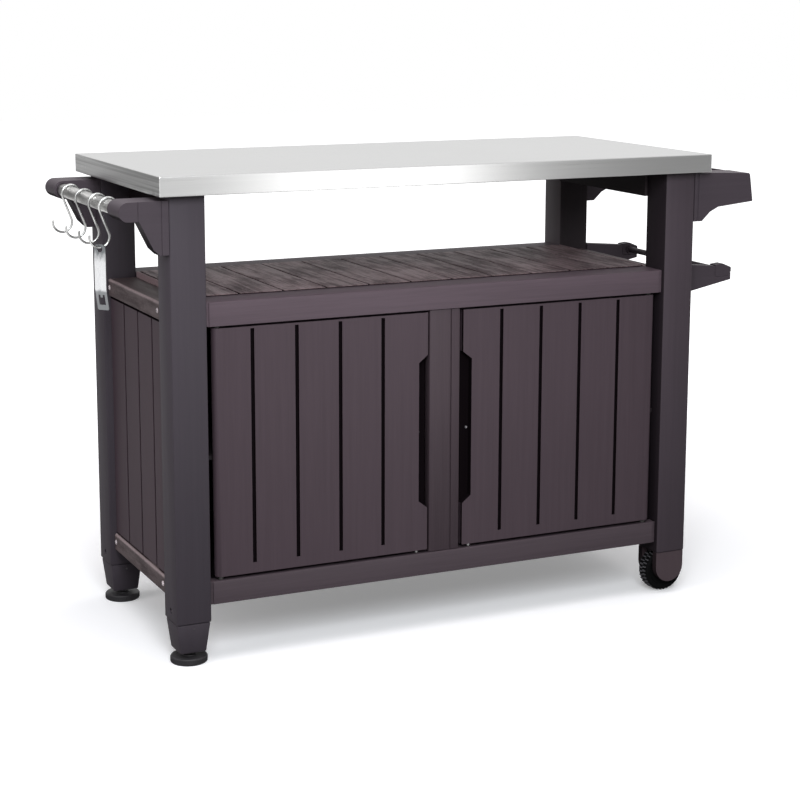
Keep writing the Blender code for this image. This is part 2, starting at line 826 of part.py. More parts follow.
def add_deck(table):
    half_x = INNER_X - SEAT
    half_y = INNER_Y - SEAT
    pitch = 2 * half_x / DECK_PLANKS
    surface = DECK_TOP + DECK_RISE
    groove_ends = (-INNER_Y - 0.01, INNER_Y + 0.01)
    groove_level = (surface - DECK_GROOVE_DEPTH, surface + 0.01)
    deck = box("deck", (-half_x, half_x), (-half_y, half_y), (DECK_TOP - DECK_THICKNESS, surface))
    first = pitch - half_x
    groove = box(
        "cut_deck_grooves",
        (first - DECK_GROOVE / 2, first + DECK_GROOVE / 2),
        groove_ends,
        groove_level,
    )
    table.cut(deck, repeated(groove, DECK_PLANKS - 1, (pitch, 0, 0)))
    rim = half_x - DECK_RIM
    edge = box(
        "cut_deck_rims",
        (-rim - DECK_GROOVE / 2, -rim + DECK_GROOVE / 2),
        groove_ends,
        groove_level,
    )
    table.cut(deck, repeated(edge, 2, (2 * rim, 0, 0)))
    table.add(deck, "deck_brown")


def board_outline(reach_x, reach_y):
    """A board that fills the frame's inside: full depth between the legs, full length between the sides."""
    x = INNER_X - SEAT
    y = INNER_Y - SEAT
    quarter = [(reach_x, y), (x, y), (x, reach_y)]
    right = quarter + [(-a, b) for a, b in reversed(quarter)]
    return right + [(a, -b) for a, b in reversed(right)]


def add_boards(table):
    floor_top = LOWER_RAIL_TOP - FLOOR_BELOW_RAIL
    floor_reach_x = SIDE_RAIL_X - SIDE_RAIL_BODY - SEAT
    floor_reach_y = RAIL_Y - RAIL_BODY - SEAT
    floor = board_outline(floor_reach_x, floor_reach_y)
    table.add(plate("cabinet_floor", floor, (floor_top - FLOOR_THICKNESS, floor_top), "XY"), "plank_brown")
    shelf_reach_x = OUTER_X - SIDE_PANEL_SETBACK - PANEL_THICKNESS - SEAT
    shelf_reach_y = FACE_Y - STILE_THICKNESS - SEAT
    shelf = board_outline(shelf_reach_x, shelf_reach_y)
    table.add(plate("inner_shelf", shelf, (SHELF_HEIGHT - SHELF_THICKNESS, SHELF_HEIGHT), "XY"), "plank_brown")


# Panels and stiles


def add_side_panel(table, side):
    name = f"side_panel_{SIDE_NAME[side]}"
    outer = side * (OUTER_X - SIDE_PANEL_SETBACK)
    inner = outer - side * PANEL_THICKNESS
    along = INNER_Y - SEAT
    bottom = LOWER_SIDE_RAIL_BOTTOM + SIDE_RAIL_HEIGHT + SIDE_PANEL_GAP
    top = DECK_TOP - SIDE_RAIL_DROP - SIDE_RAIL_HEIGHT - SIDE_PANEL_GAP
    panel = box(name, (inner, outer), (-along, along), (bottom, top))
    pitch = 2 * along / SIDE_PANEL_PLANKS
    first = pitch - along
    groove = box(
        f"cut_{name}",
        (outer - side * PANEL_GROOVE_DEPTH, outer + side * 0.01),
        (first - PANEL_GROOVE / 2, first + PANEL_GROOVE / 2),
        (bottom - 0.01, top + 0.01),
    )
    table.cut(panel, repeated(groove, SIDE_PANEL_PLANKS - 1, (0, pitch, 0)))
    table.add(panel, "plank_brown")


def add_back_panel(table, side):
    name = f"back_panel_{SIDE_NAME[side]}"
    near = BACK_STILE_WIDTH / 2 + SEAT
    far = INNER_X - SEAT
    bottom = LOWER_RAIL_TOP + SEAT
    top = UPPER_RAIL_BOTTOM - SEAT
    panel = box(name, (side * near, side * far), (FACE_Y - PANEL_THICKNESS, FACE_Y), (bottom, top))
    pitch = (far - near) / BACK_PANEL_PLANKS
    first = side * (near + pitch)
    groove = box(
        f"cut_{name}",
        (first - PANEL_GROOVE / 2, first + PANEL_GROOVE / 2),
        (FACE_Y - PANEL_GROOVE_DEPTH, FACE_Y + 0.01),
        (bottom - 0.01, top + 0.01),
    )
    table.cut(panel, repeated(groove, BACK_PANEL_PLANKS - 1, (side * pitch, 0, 0)))
    table.add(panel, "plank_brown")


def add_stiles(table):
    bottom = LOWER_RAIL_TOP + SEAT
    top = UPPER_RAIL_BOTTOM - SEAT
    inner = FACE_Y - STILE_THICKNESS
    stile = box("centre_stile", (STILE_LEFT, STILE_RIGHT), (-FACE_Y, -inner), (bottom, top))
    soften(stile, 0.0015, segments=2)
    groove = box(
        "cut_centre_stile",
        (STILE_GROOVE_X - STILE_GROOVE / 2, STILE_GROOVE_X + STILE_GROOVE / 2),
        (-FACE_Y - 0.01, PANEL_GROOVE_DEPTH - FACE_Y),
        (bottom - 0.01, top + 0.01),
    )
    table.cut(stile, groove)
    table.add(stile, "plank_brown")
    half = BACK_STILE_WIDTH / 2
    back = box("back_stile", (-half, half), (inner, FACE_Y), (bottom, top))
    table.add(soften(back, 0.0015, segments=2), "plank_brown")


# Doors


def door_outline(side):
    """The door from above, about its pivot: a half-round hinge edge and a square meeting edge."""
    radius = DOOR_THICKNESS / 2
    reach = HINGE_X - DOOR_MEETING_X
    round_edge = arc((0, 0), radius, pi / 2, -pi / 2, 10)
    outline = [(-reach, -radius), (-reach, radius)] + round_edge
    return [(side * x, y) for x, y in outline]


def add_door(table, side):
    name = SIDE_NAME[side]
    pivot = (side * HINGE_X, -HINGE_Y, 0)
    height = DOOR_TOP - DOOR_BOTTOM
    door = plate(f"door_{name}", door_outline(side), (-height / 2, height / 2), "XY")
    door.location = (*pivot[:2], DOOR_BOTTOM + height / 2)
    soften(door, DOOR_EDGE, segments=1)
    middle = side * (DOOR_MEETING_X + DOOR_HINGE_X) / 2 + DOOR_GROOVE_SHIFT[name]
    first = middle - DOOR_PLANK_PITCH * (DOOR_PLANKS - 2) / 2
    groove = box(
        f"cut_door_grooves_{name}",
        (first - DOOR_GROOVE / 2, first + DOOR_GROOVE / 2),
        (-FACE_Y - 0.01, DOOR_GROOVE_DEPTH - FACE_Y),
        (DOOR_BOTTOM + DOOR_GROOVE_BOTTOM_MARGIN, DOOR_TOP - DOOR_GROOVE_TOP_MARGIN),
    )
    table.cut(door, repeated(groove, DOOR_PLANKS - 1, (DOOR_PLANK_PITCH, 0, 0)))
    table.cut(door, grip_cutter(side))
    hollow = box(
        f"cut_door_back_{name}",
        (side * (DOOR_MEETING_X + DOOR_BORDER), side * (DOOR_HINGE_X - DOOR_BORDER)),
        (DOOR_SKIN - FACE_Y, 0.01 + DOOR_THICKNESS - FACE_Y),
        (DOOR_BOTTOM + DOOR_BORDER, DOOR_TOP - DOOR_BORDER),
    )
    table.cut(door, hollow)
    for face, into in ((DOOR_TOP, -1), (DOOR_BOTTOM, 1)):
        hole = rod(
            f"cut_door_pin_{name}_{'top' if into < 0 else 'bottom'}",
            PIN_RADIUS + RUNNING,
            (face - into * 0.01, face + into * (PIN_IN_DOOR + RUNNING)),
            "Z",
            pivot,
            sides=16,
        )
        table.cut(door, hole)
    table.add(door, "plank_brown")


def grip_cutter(side):
    """The finger grip: a pocket in the front of the meeting edge, shorter at its inner side."""
    outline = [
        (DOOR_MEETING_X - 0.01, GRIP_BOTTOM - GRIP_SLOPE * 0.01 / GRIP_REACH),
        (DOOR_MEETING_X + GRIP_REACH, GRIP_BOTTOM + GRIP_SLOPE),
        (DOOR_MEETING_X + GRIP_REACH, GRIP_TOP - GRIP_SLOPE),
        (DOOR_MEETING_X - 0.01, GRIP_TOP + GRIP_SLOPE * 0.01 / GRIP_REACH),
    ]
    shape = [(side * x, z) for x, z in outline]
    return plate(f"cut_grip_{SIDE_NAME[side]}", shape, (-FACE_Y - 0.01, GRIP_DEPTH - FACE_Y))


def add_hinge_pins(table, side):
    """Each pin sits in its rail and turns in the door, and its collar fills the gap between them."""
    for level, rail, door in (
        ("top", UPPER_RAIL_BOTTOM, DOOR_TOP),
        ("bottom", LOWER_RAIL_TOP, DOOR_BOTTOM),
    ):
        into_rail = 1 if rail > door else -1
        name = f"hinge_pin_{SIDE_NAME[side]}_{level}"
        collar_rail = rail - into_rail * SEAT
        collar_door = door + into_rail * RUNNING
        ends = (door - into_rail * PIN_IN_DOOR, rail + into_rail * PIN_IN_RAIL)
        place = (side * HINGE_X, -HINGE_Y, 0)
        pin = rod(name, PIN_RADIUS, ends, "Z", place, sides=16)
        collar = rod(f"collar_{name}", PIN_COLLAR_RADIUS, (collar_rail, collar_door), "Z", place, sides=16)
        table.join(pin, collar)
        table.add(pin, "bright_steel")


def add_catch(table, side):
    place = (side * CATCH_X, -HINGE_Y, 0)
    bottom = LOWER_RAIL_TOP + SEAT
    stud = rod(
        f"door_catch_{SIDE_NAME[side]}",
        CATCH_RADIUS,
        (bottom, bottom + CATCH_HEIGHT),
        "Z",
        place,
        sides=16,
    )
    table.add(stud, "bright_steel")


# Hanging bar


def bracket_outline():
    """The handle bracket from the front: a round boss for the bar and a brace to the leg."""
    leg = -OUTER_X - SEAT
    boss = arc((BAR_X, BAR_Z), BRACKET_BOSS, pi / 2, 3 * pi / 2, 14)
    top = BAR_Z + BRACKET_BOSS
    bottom = BAR_Z - BRACKET_BOSS
    rest = [
        (BRACKET_BRACE_TOP_X, bottom),
        (BRACKET_BRACE_X, BRACKET_BRACE_Z),
        (leg - BRACKET_FOOT_REACH, BRACKET_FOOT_Z),
        (leg, BRACKET_FOOT_Z),
        (leg, top),
    ]
    return boss + rest


def seam_cutter(name, x, width, face, bottom):
    """A shallow upright groove in a bracket's outer face."""
    into = -1 if face > 0 else 1
    return box(
        name,
        (x - width / 2, x + width / 2),
        (face - into * 0.01, face + into * SEAM_DEPTH),
        (bottom - 0.01, TOP_UNDERSIDE + 0.01),
    )


def add_handle(table):
    for end in (FRONT, BACK):
        name = f"handle_bracket_{END_NAME[end]}"
        bracket = plate(name, bracket_outline(), (end * OUTER_Y, end * BRACKET_INNER_Y))
        socket = rod(
            f"cut_{name}",
            BAR_RADIUS + SEAT,
            (end * (BRACKET_INNER_Y - 0.01), end * (BRACKET_INNER_Y + BRACKET_SOCKET_DEPTH)),
            "Y",
            (BAR_X, 0, BAR_Z),
            sides=32,
        )
        table.cut(bracket, socket)
        face = end * OUTER_Y
        hollow = box(
            f"cut_web_{name}",
            (BAR_X, -OUTER_X + 0.01),
            (end * (OUTER_Y - BRACKET_WEB), end * (BRACKET_INNER_Y - 0.01)),
            (BRACKET_FOOT_Z - 0.01, BAR_Z - BRACKET_BOSS),
        )
        table.cut(bracket, hollow)
        for x, low in ((BRACKET_SEAM_X, BAR_Z - BRACKET_BOSS), (BRACKET_STRIP_X, BRACKET_FOOT_Z)):
            table.cut(bracket, seam_cutter(f"cut_seam_{abs(x):.3f}_{name}", x, SEAM_WIDTH, face, low))
        table.add(bracket, "frame_brown")
    half = BRACKET_INNER_Y + BRACKET_SOCKET_DEPTH - SEAT
    inner = BAR_RADIUS - BAR_WALL
    profile = [(inner, half), (BAR_RADIUS, half), (BAR_RADIUS, -half), (inner, -half)]
    bar = turned("towel_bar", profile, "Y", (BAR_X, 0, BAR_Z), sides=32)
    table.add(bar, "bright_steel")


# Hooks and opener


def hook_path():
    """The S of one hook in X and Z about the bar's axis, and the centre of its lower loop."""
    slack = HOOK_UPPER_RADIUS - HOOK_WIRE / 2 - BAR_RADIUS - SEAT
    upper = (0.0, -slack)
    lower = (-HOOK_LEAN, -HOOK_DROP)
    across = Vector(lower) - Vector(upper)
    inclination = atan2(across.y, across.x)
    crossing = acos((HOOK_UPPER_RADIUS + HOOK_LOWER_RADIUS) / across.length)
    leave = inclination - crossing + 2 * pi
    meet = inclination - crossing + pi
    over = arc(upper, HOOK_UPPER_RADIUS, HOOK_UPPER_END, leave, HOOK_ARC_STEPS)
    under = arc(lower, HOOK_LOWER_RADIUS, meet, HOOK_TIP_ANGLE, HOOK_ARC_STEPS)
    return over + under, Vector(lower)


def left_reach():
    """How far the hooks reach to the left of the bar's axis."""
    path, _ = hook_path()
    return BAR_X + min(point[0] for point in path) - HOOK_WIRE / 2


def add_hooks(table):
    path, _ = hook_path()
    for index, y in enumerate(HOOK_Y):
        hook = wire(f"s_hook_{index + 1}", [(point[0], 0, point[1]) for point in path], HOOK_WIRE / 2)
        hook.location = (BAR_X, y, BAR_Z)
        table.add(hook, "bright_steel")


def opener_outlines():
    """The flat opener about the wire it hangs on: the outline, the hole and the cut with its tooth."""
    half = OPENER_WIDTH / 2
    hole_y = HOOK_WIRE / 2 + OPENER_SLACK - OPENER_HOLE_RADIUS
    top = hole_y + OPENER_HOLE_RADIUS + OPENER_HOLE_MARGIN
    bottom = top - OPENER_LENGTH
    body = filleted(
        [(half, bottom), (half, top), (-half, top), (-half, bottom)],
        {0: 0.003, 1: half * 0.7, 2: half * 0.7, 3: 0.003},
        steps=5,
    )
    hole = arc((0, hole_y), OPENER_HOLE_RADIUS, 0, 2 * pi * 15 / 16, 15)
    low = bottom + OPENER_CUT_MARGIN
    high = low + OPENER_CUT_HEIGHT
    side = OPENER_CUT_WIDTH / 2
    tooth = OPENER_TOOTH / 2
    cut = [
        (side, low),
        (side, high),
        (tooth, high),
        (tooth, high - OPENER_TOOTH),
        (-tooth, high - OPENER_TOOTH),
        (-tooth, high),
        (-side, high),
        (-side, low),
    ]
    return [body, hole, cut]


def add_opener(table):
    """The opener hangs by its hole from the nearest hook, turned on the wire and bent near its foot."""
    mesh = flat_mesh("bottle_opener", opener_outlines(), OPENER_THICKNESS)
    bend = HOOK_WIRE / 2 + OPENER_SLACK + OPENER_HOLE_MARGIN - OPENER_BEND_FROM_TOP
    shape = bmesh.new()
    shape.from_mesh(mesh)
    everything = shape.verts[:] + shape.edges[:] + shape.faces[:]
    bmesh.ops.bisect_plane(shape, geom=everything, plane_co=(0, bend, 0), plane_no=(0, 1, 0))
    below = [vertex for vertex in shape.verts if vertex.co.y < bend - 1e-6]
    bmesh.ops.rotate(shape, verts=below, cent=(0, bend, 0), matrix=Matrix.Rotation(OPENER_BEND, 3, "X"))
    bmesh.ops.transform(shape, matrix=Matrix.Rotation(pi / 2, 4, "X"), verts=shape.verts)
    shape.to_mesh(mesh)
    shape.free()
    opener = bpy.data.objects.new("bottle_opener", mesh)
    _, lower = hook_path()
    opener.rotation_euler = (0, 0, OPENER_TURN - pi / 2)
    opener.location = (BAR_X + lower.x, HOOK_Y[-1], BAR_Z + lower.y - HOOK_LOWER_RADIUS)
    table.add(opener, "bright_steel")


# Rack


def rack_outline():
    """The rack's bracket from the front."""
    leg = OUTER_X + SEAT
    corners = [
        (leg, RACK_TOP_Z),
        (leg, RACK_FOOT_Z),
        (RACK_FOOT_X, RACK_FOOT_Z),
        (RACK_HIP_X, RACK_HIP_Z),
        (RACK_KNEE_X, RACK_KNEE_Z),
        (RACK_END_X, RACK_END_Z),
        (RACK_TOP_END_X, RACK_TOP_END_Z),
    ]
    return filleted(corners, {2: 0.004, 5: 0.002, 6: RACK_ROUNDING}, steps=4)


def tray_outline():
    """The trough between the brackets, as one wall followed down, along and up again."""
    wall = TRAY_WALL
    lean = (RACK_END_X - RACK_TOP_END_X) / (RACK_TOP_END_Z - RACK_END_Z)
    top = RACK_TOP_END_Z - TRAY_INSET
    inner = RACK_KNEE_X
    outer = RACK_END_X - TRAY_INSET
    floor = RACK_KNEE_Z + TRAY_INSET
    end_floor = RACK_END_Z + TRAY_INSET
    return [
        (inner, top),
        (inner, floor),
        (outer, end_floor),
        (outer - lean * (top - end_floor), top),
        (outer - lean * (top - end_floor) - wall, top),
        (outer - wall, end_floor + wall),
        (inner + wall, floor + wall),
        (inner + wall, top),
    ]


def add_rack(table):
    for end in (FRONT, BACK):
        bracket = plate(f"rack_bracket_{END_NAME[end]}", rack_outline(), (end * OUTER_Y, end * RACK_INNER_Y))
        soften(bracket, 0.0015, segments=1)
        groove = seam_cutter(f"cut_groove_{END_NAME[end]}", RACK_GROOVE_X, RACK_GROOVE, end * OUTER_Y, RACK_FOOT_Z)
        table.add(table.cut(bracket, groove), "frame_brown")
    half = RACK_INNER_Y - SEAT
    table.add(plate("rack_tray", tray_outline(), (-half, half)), "frame_brown")


# Roll holder


def roll_arm_outline():
    """The arm from the front: it narrows towards its end, where a stepped seat holds the rod's cap."""
    leg = OUTER_X + SEAT
    lip = ROLL_ARM_END_X - ROLL_LIP
    return [
        (leg, ROLL_ARM_TOP_Z),
        (leg, ROLL_ARM_BOTTOM_Z),
        (ROLL_ARM_END_X, ROLL_ARM_END_Z),
        (ROLL_ARM_END_X, ROLL_SEAT_Z + ROLL_LIP_HEIGHT),
        (lip, ROLL_SEAT_Z + ROLL_LIP_HEIGHT),
        (lip, ROLL_SEAT_Z),
        (ROLL_SEAT_X, ROLL_SEAT_Z),
        (ROLL_SEAT_X, ROLL_SEAT_TOP_Z),
    ]


def roll_cap_outline():
    """The cap that drops into the seat and hooks over its lip."""
    left = ROLL_SEAT_X + SEAT
    bottom = ROLL_SEAT_Z + SEAT
    lip = ROLL_ARM_END_X - ROLL_LIP - SEAT
    step = bottom + ROLL_LIP_HEIGHT
    corners = [
        (left, bottom),
        (lip, bottom),
        (lip, step),
        (ROLL_ARM_END_X, step),
        (ROLL_ARM_END_X, ROLL_CAP_END_Z),
        (ROLL_ROD_X, ROLL_CAP_TOP_Z),
        (left, ROLL_CAP_TOP_Z - (ROLL_CAP_TOP_Z - ROLL_SEAT_TOP_Z) / 2),
    ]
    return filleted(corners, {4: 0.003, 5: 0.004}, steps=3)


def add_roll_holder(table):
    inner = ROLL_ARM_INNER_Y
    outer = inner + ROLL_ARM_THICKNESS
    axis = (ROLL_ROD_X, 0, ROLL_ROD_Z)
    middle = inner + ROLL_ARM_THICKNESS / 2
    bar = rod("roll_rod", ROLL_ROD_RADIUS, (-middle, middle), "Y", axis, sides=24)
    for end in (FRONT, BACK):
        name = END_NAME[end]
        arm = plate(f"roll_arm_{name}", roll_arm_outline(), (end * inner, end * outer))
        table.add(arm, "frame_brown")
        table.join(bar, plate(f"roll_cap_{name}", roll_cap_outline(), (end * inner, end * outer)))
        collar_ends = (end * (inner - SEAT), end * (inner - SEAT - ROLL_COLLAR))
        table.join(bar, rod(f"roll_collar_{name}", ROLL_COLLAR_RADIUS, collar_ends, "Y", axis, sides=24))
    table.add(bar, "frame_brown")


# The whole table


def build_table():
    clear_scene()
    reach = max(RACK_END_X, ROLL_ARM_END_X)
    table = Table(-(left_reach() + reach) / 2)
    add_worktop(table)
    add_aprons(table)
    for side in (LEFT, RIGHT):
        for end in (FRONT, BACK):
            add_leg(table, side, end)
    for end in (FRONT, BACK):
        add_foot(table, end)
        add_wheel(table, end)
        add_long_rails(table, end)
    for side in (LEFT, RIGHT):
        add_side_rails(table, side)
        add_side_panel(table, side)
        add_back_panel(table, side)
        add_door(table, side)
        add_hinge_pins(table, side)
        add_catch(table, side)
    add_deck(table)
    add_boards(table)
    add_stiles(table)
    add_handle(table)
    add_hooks(table)
    add_opener(table)
    add_rack(table)
    add_roll_holder(table)
    return table


built = build_table()
print(f"table_root x {built.root.location.x:.5f}, {len(built.parts.objects)} parts")
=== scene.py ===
# %% [markdown]
# # A portable outdoor table
# This lesson dresses a finished CAD model: a steel worktop on four moulded legs, a planked deck, a cabinet
# with two doors, a hanging bar with hooks on the left and a rack and a roll holder on the right. The CAD
# model is loaded first and nothing in it is moved, so every piece below takes its place from it.

import json
import math

import bmesh
import bpy
from mathutils import Matrix, Vector
from mathutils.bvhtree import BVHTree


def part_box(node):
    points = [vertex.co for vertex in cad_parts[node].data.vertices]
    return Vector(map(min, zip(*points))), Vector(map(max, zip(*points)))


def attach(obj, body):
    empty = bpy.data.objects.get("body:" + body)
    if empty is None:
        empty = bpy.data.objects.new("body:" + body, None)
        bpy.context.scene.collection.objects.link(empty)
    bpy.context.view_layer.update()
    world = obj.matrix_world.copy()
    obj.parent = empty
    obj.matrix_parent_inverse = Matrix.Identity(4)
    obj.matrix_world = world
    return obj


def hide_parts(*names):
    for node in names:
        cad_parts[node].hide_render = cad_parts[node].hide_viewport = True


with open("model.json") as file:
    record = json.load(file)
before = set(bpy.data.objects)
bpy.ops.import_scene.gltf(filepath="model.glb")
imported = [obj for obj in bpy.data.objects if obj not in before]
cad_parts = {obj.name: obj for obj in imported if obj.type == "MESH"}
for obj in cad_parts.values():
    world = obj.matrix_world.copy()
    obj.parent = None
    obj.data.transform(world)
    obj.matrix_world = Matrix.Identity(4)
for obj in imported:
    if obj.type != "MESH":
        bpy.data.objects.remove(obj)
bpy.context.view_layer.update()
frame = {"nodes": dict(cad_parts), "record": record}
cad_nodes = frame["nodes"]
bodies = frame["record"]["behaviour"]["bodies"]
body_of_node = {node: body for body, nodes in bodies.items() for node in nodes}

# %% Calls used all over the lesson
def linked(name, data):
    """A new object with this mesh, lamp or camera, in the scene."""
    obj = bpy.data.objects.new(name, data)
    bpy.context.scene.collection.objects.link(obj)
    return obj


def centre_of(node):
    """The middle of a CAD node."""
    low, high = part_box(node)
    return (low + high) / 2


# %% Where the frame of the table stands
outer_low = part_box("leg_front_left")[0]
outer_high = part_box("leg_back_right")[1]
middle_x = (outer_low.x + outer_high.x) / 2
print(f"the legs reach from x {outer_low.x:.4f} to {outer_high.x:.4f}, with their middle at {middle_x:.4f}")

# %% [markdown]
# ## The camera
# A product photograph like this is taken a little above the worktop from the left, with a long lens. The
# camera's place and turn were solved from the straight edges of the table. The lens shift is the photograph's
# own framing: the table sits slightly off the optical axis.

# %% Camera
IMAGE_SIZE = 800
FOCAL_PIXELS = 1908.0
OPTICAL_AXIS = (395.19, 344.05)
CAMERA_FROM_MIDDLE = (-1.5984, -3.4006, 1.2219)
CAMERA_YAW = math.radians(25.22)
CAMERA_DOWN = math.radians(10.593)
CAMERA_ROLL = math.radians(0.113)


def aimed_camera():
    """The photograph's camera: where it stands, which way it looks and how it is framed."""
    data = bpy.data.cameras.new("camera")
    data.sensor_width = 36.0
    data.lens = FOCAL_PIXELS * data.sensor_width / IMAGE_SIZE
    data.shift_x = (IMAGE_SIZE / 2 - OPTICAL_AXIS[0]) / IMAGE_SIZE
    data.shift_y = (OPTICAL_AXIS[1] - IMAGE_SIZE / 2) / IMAGE_SIZE
    ahead = Vector((
        math.sin(CAMERA_YAW) * math.cos(CAMERA_DOWN),
        math.cos(CAMERA_YAW) * math.cos(CAMERA_DOWN),
        -math.sin(CAMERA_DOWN),
    ))
    level = Vector((math.cos(CAMERA_YAW), -math.sin(CAMERA_YAW), 0.0))
    upward = level.cross(ahead)
    right = level * math.cos(CAMERA_ROLL) + upward * math.sin(CAMERA_ROLL)
    up = upward * math.cos(CAMERA_ROLL) - level * math.sin(CAMERA_ROLL)
    camera = linked("camera", data)
    turn = Matrix((right, up, -ahead)).transposed().to_4x4()
    place = Vector(CAMERA_FROM_MIDDLE) + Vector((middle_x, 0, 0))
    camera.matrix_world = Matrix.Translation(place) @ turn
    return camera


camera = aimed_camera()
bpy.context.scene.camera = camera
print(f"lens {camera.data.lens:.2f} mm at {tuple(round(value, 3) for value in camera.location)}")

# %% [markdown]
# ## Maths with nodes
# A material is a small calculation for every point of a surface. Drawn as nodes it soon fills a screen, and
# written as one call for each node it can't be read. So one class wraps a socket and turns plus, minus and
# times into Math nodes, and one method adds any other node. Materials, the sky and the Geometry Nodes trees
# further down are all written this way.


# %% A value in a node tree
class Signal:
    """One output socket of a node tree, on which plain maths can be done."""

    def __init__(self, graph, socket):
        self.graph = graph
        self.socket = socket

    def __add__(self, other):
        return self.graph.maths("ADD", self, other)

    def __sub__(self, other):
        return self.graph.maths("SUBTRACT", self, other)

    def __rsub__(self, other):
        return self.graph.maths("SUBTRACT", other, self)

    def __mul__(self, other):
        return self.graph.maths("MULTIPLY", self, other)

    __radd__ = __add__
    __rmul__ = __mul__


# %% A node tree that is being built
class Graph:
    """A node tree and the calls that add nodes to it."""

    def __init__(self, tree):
        self.tree = tree

    def node(self, kind, inputs=None, output=0, **settings):
        """Any node: its settings first, then the values or links of its sockets."""
        made = self.tree.nodes.new(kind)
        for name, value in settings.items():
            setattr(made, name, value)
        for name, value in (inputs or {}).items():
            self.feed(made.inputs[name], value)
        return Signal(self, made.outputs[output])

    def feed(self, socket, value):
        if isinstance(value, Signal):
            self.tree.links.new(value.socket, socket)
        else:
            socket.default_value = value

    def maths(self, operation, *values):
        return self.node("ShaderNodeMath", dict(enumerate(values)), operation=operation)


# %% A finish that is being mixed
GROOVE_LIP = (0.0006, 0.0018)
GROOVE_FADE = 0.001


class Finish(Graph):
    """A Principled material and the calls that mix its colour, gloss and relief."""

    def __init__(self, name, **fixed):
        self.material = bpy.data.materials.new(name)
        self.material.use_nodes = True
        super().__init__(self.material.node_tree)
        self.shader = self.tree.nodes["Principled BSDF"]
        self.output(**fixed)

    def output(self, **inputs):
        """Sets or links sockets of the shader and gives the material."""
        for socket, value in inputs.items():
            self.feed(self.shader.inputs[socket.replace("_", " ")], value)
        return self.material

    def place(self, stretch=(1, 1, 1)):
        """The point on the object in metres, stretched along each axis."""
        where = self.node("ShaderNodeTexCoord", output="Object")
        return self.node("ShaderNodeVectorMath", {0: where, 1: stretch}, operation="MULTIPLY")

    def noise(self, stretch, detail=3.0, roughness=0.55, shift=0.0):
        """Cloudy noise from 0 to 1. The stretch says how many clouds fit in a metre along each axis."""
        where = self.place(stretch)
        if shift:
            where = self.node("ShaderNodeVectorMath", {0: where, 1: (shift, shift, shift)}, operation="ADD")
        inputs = {"Vector": where, "Scale": 1.0, "Detail": detail, "Roughness": roughness}
        return self.node("ShaderNodeTexNoise", inputs)

    def streaks(self, axis, lengthwise, across, **look):
        """Noise drawn out along one axis."""
        return self.noise([lengthwise if name == axis else across for name in "XYZ"], **look)

    def between(self, value, low, high):
        """0 below low, 1 above high and a smooth step between."""
        return self.node(
            "ShaderNodeMapRange",
            {"Value": value, "From Min": low, "From Max": high},
            interpolation_type="SMOOTHSTEP",
        )

    def blend(self, factor, first, second):
        """A colour between two colours."""
        return self.node("ShaderNodeMix", {0: factor, 6: first, 7: second}, output=2, data_type="RGBA")

    def part(self, vector, axis):
        """One of the three numbers of a vector."""
        return self.node("ShaderNodeSeparateXYZ", {0: vector}, output="XYZ".index(axis))

    def coordinate(self, axis):
        """How far along one axis the point is, in metres."""
        return self.part(self.place(), axis)

    def distance(self, axis, centre):
        """How far along one axis the point is from a centre, to either side."""
        return self.maths("ABSOLUTE", self.coordinate(axis) - centre)

    def facing(self, axis):
        """How much the surface looks along an axis, from -1 to 1."""
        return self.part(self.node("ShaderNodeNewGeometry", output="Normal"), axis)

    def sunk(self, axis, face, outward, deep, middle=None, reach=0.0):
        """1 in a groove: below a face that looks out along an axis, to a depth, near the piece's middle."""
        depth = (face - self.coordinate(axis)) * outward
        below = self.between(depth, *GROOVE_LIP) * (1 - self.between(depth, deep, deep + GROOVE_FADE))
        if middle is None:
            return below
        return below * (1 - self.between(self.distance("X", middle), reach, reach + GROOVE_FADE))

    def looking(self, axis, sign):
        """1 where the surface looks along an axis."""
        return self.between(self.facing(axis) * sign, 0.3, 0.6)

    def ramp(self, value, stops):
        """Greys at places along a value from 0 to 1, blended between them."""
        made = self.node("ShaderNodeValToRGB", {0: value})
        marks = made.socket.node.color_ramp.elements
        marks[0].position, marks[-1].position = stops[0][0], stops[-1][0]
        for place, _ in stops[1:-1]:
            marks.new(place)
        for mark, (_, grey) in zip(marks, stops):
            mark.color = (grey, grey, grey, 1.0)
        return made

    def paint_shade(self, mask, colour):
        """Painted shade: where the mask is 1 the surface is this dark colour and doesn't shine, as where no
        light gets in.
        """
        inputs = {"Base Color": colour, "Roughness": 1.0, "Specular IOR Level": 0.0}
        dull = self.node("ShaderNodeBsdfPrincipled", inputs)
        shine = Signal(self, self.shader.outputs[0])
        mixed = self.node("ShaderNodeMixShader", {0: mask, 1: shine, 2: dull})
        self.feed(self.tree.nodes["Material Output"].inputs["Surface"], mixed)

    def bump(self, height, distance, strength=1.0):
        """A relief that is a distance in metres high where height is 1."""
        raised = self.node("ShaderNodeBump", {"Height": height, "Distance": distance, "Strength": strength})
        self.feed(self.shader.inputs["Normal"], raised)


def from_picture(red, green, blue):
    """A colour as a picture shows it, 0 to 255, as the linear colour that a shader wants."""
    scaled = [value / 255 for value in (red, green, blue)]
    linear = [value / 12.92 if value <= 0.04045 else ((value + 0.055) / 1.055) ** 2.4 for value in scaled]
    return (*linear, 1.0)


def times(colour, factor):
    """A linear colour made lighter or darker."""
    return (*(value * factor for value in colour[:3]), 1.0)


print("brown resin is", [round(value, 3) for value in from_picture(72, 62, 68)[:3]])

# %% [markdown]
# ## Brushed steel
# The worktop is one folded sheet whose brushing runs along its length, and along its ends too. Real brushing
# is thousands of fine scratches, far too fine to model, so they are noise squeezed across the brushing and
# stretched along it. It lifts the surface by a few hundredths of a millimetre and varies its gloss.

# %% Sheet steel
STEEL = (0.60, 0.60, 0.597, 1.0)
# lines in a metre across the brushing, and along it
LINES_PER_METRE = {"fine": (1500.0, 6.0), "broad": (230.0, 2.2)}


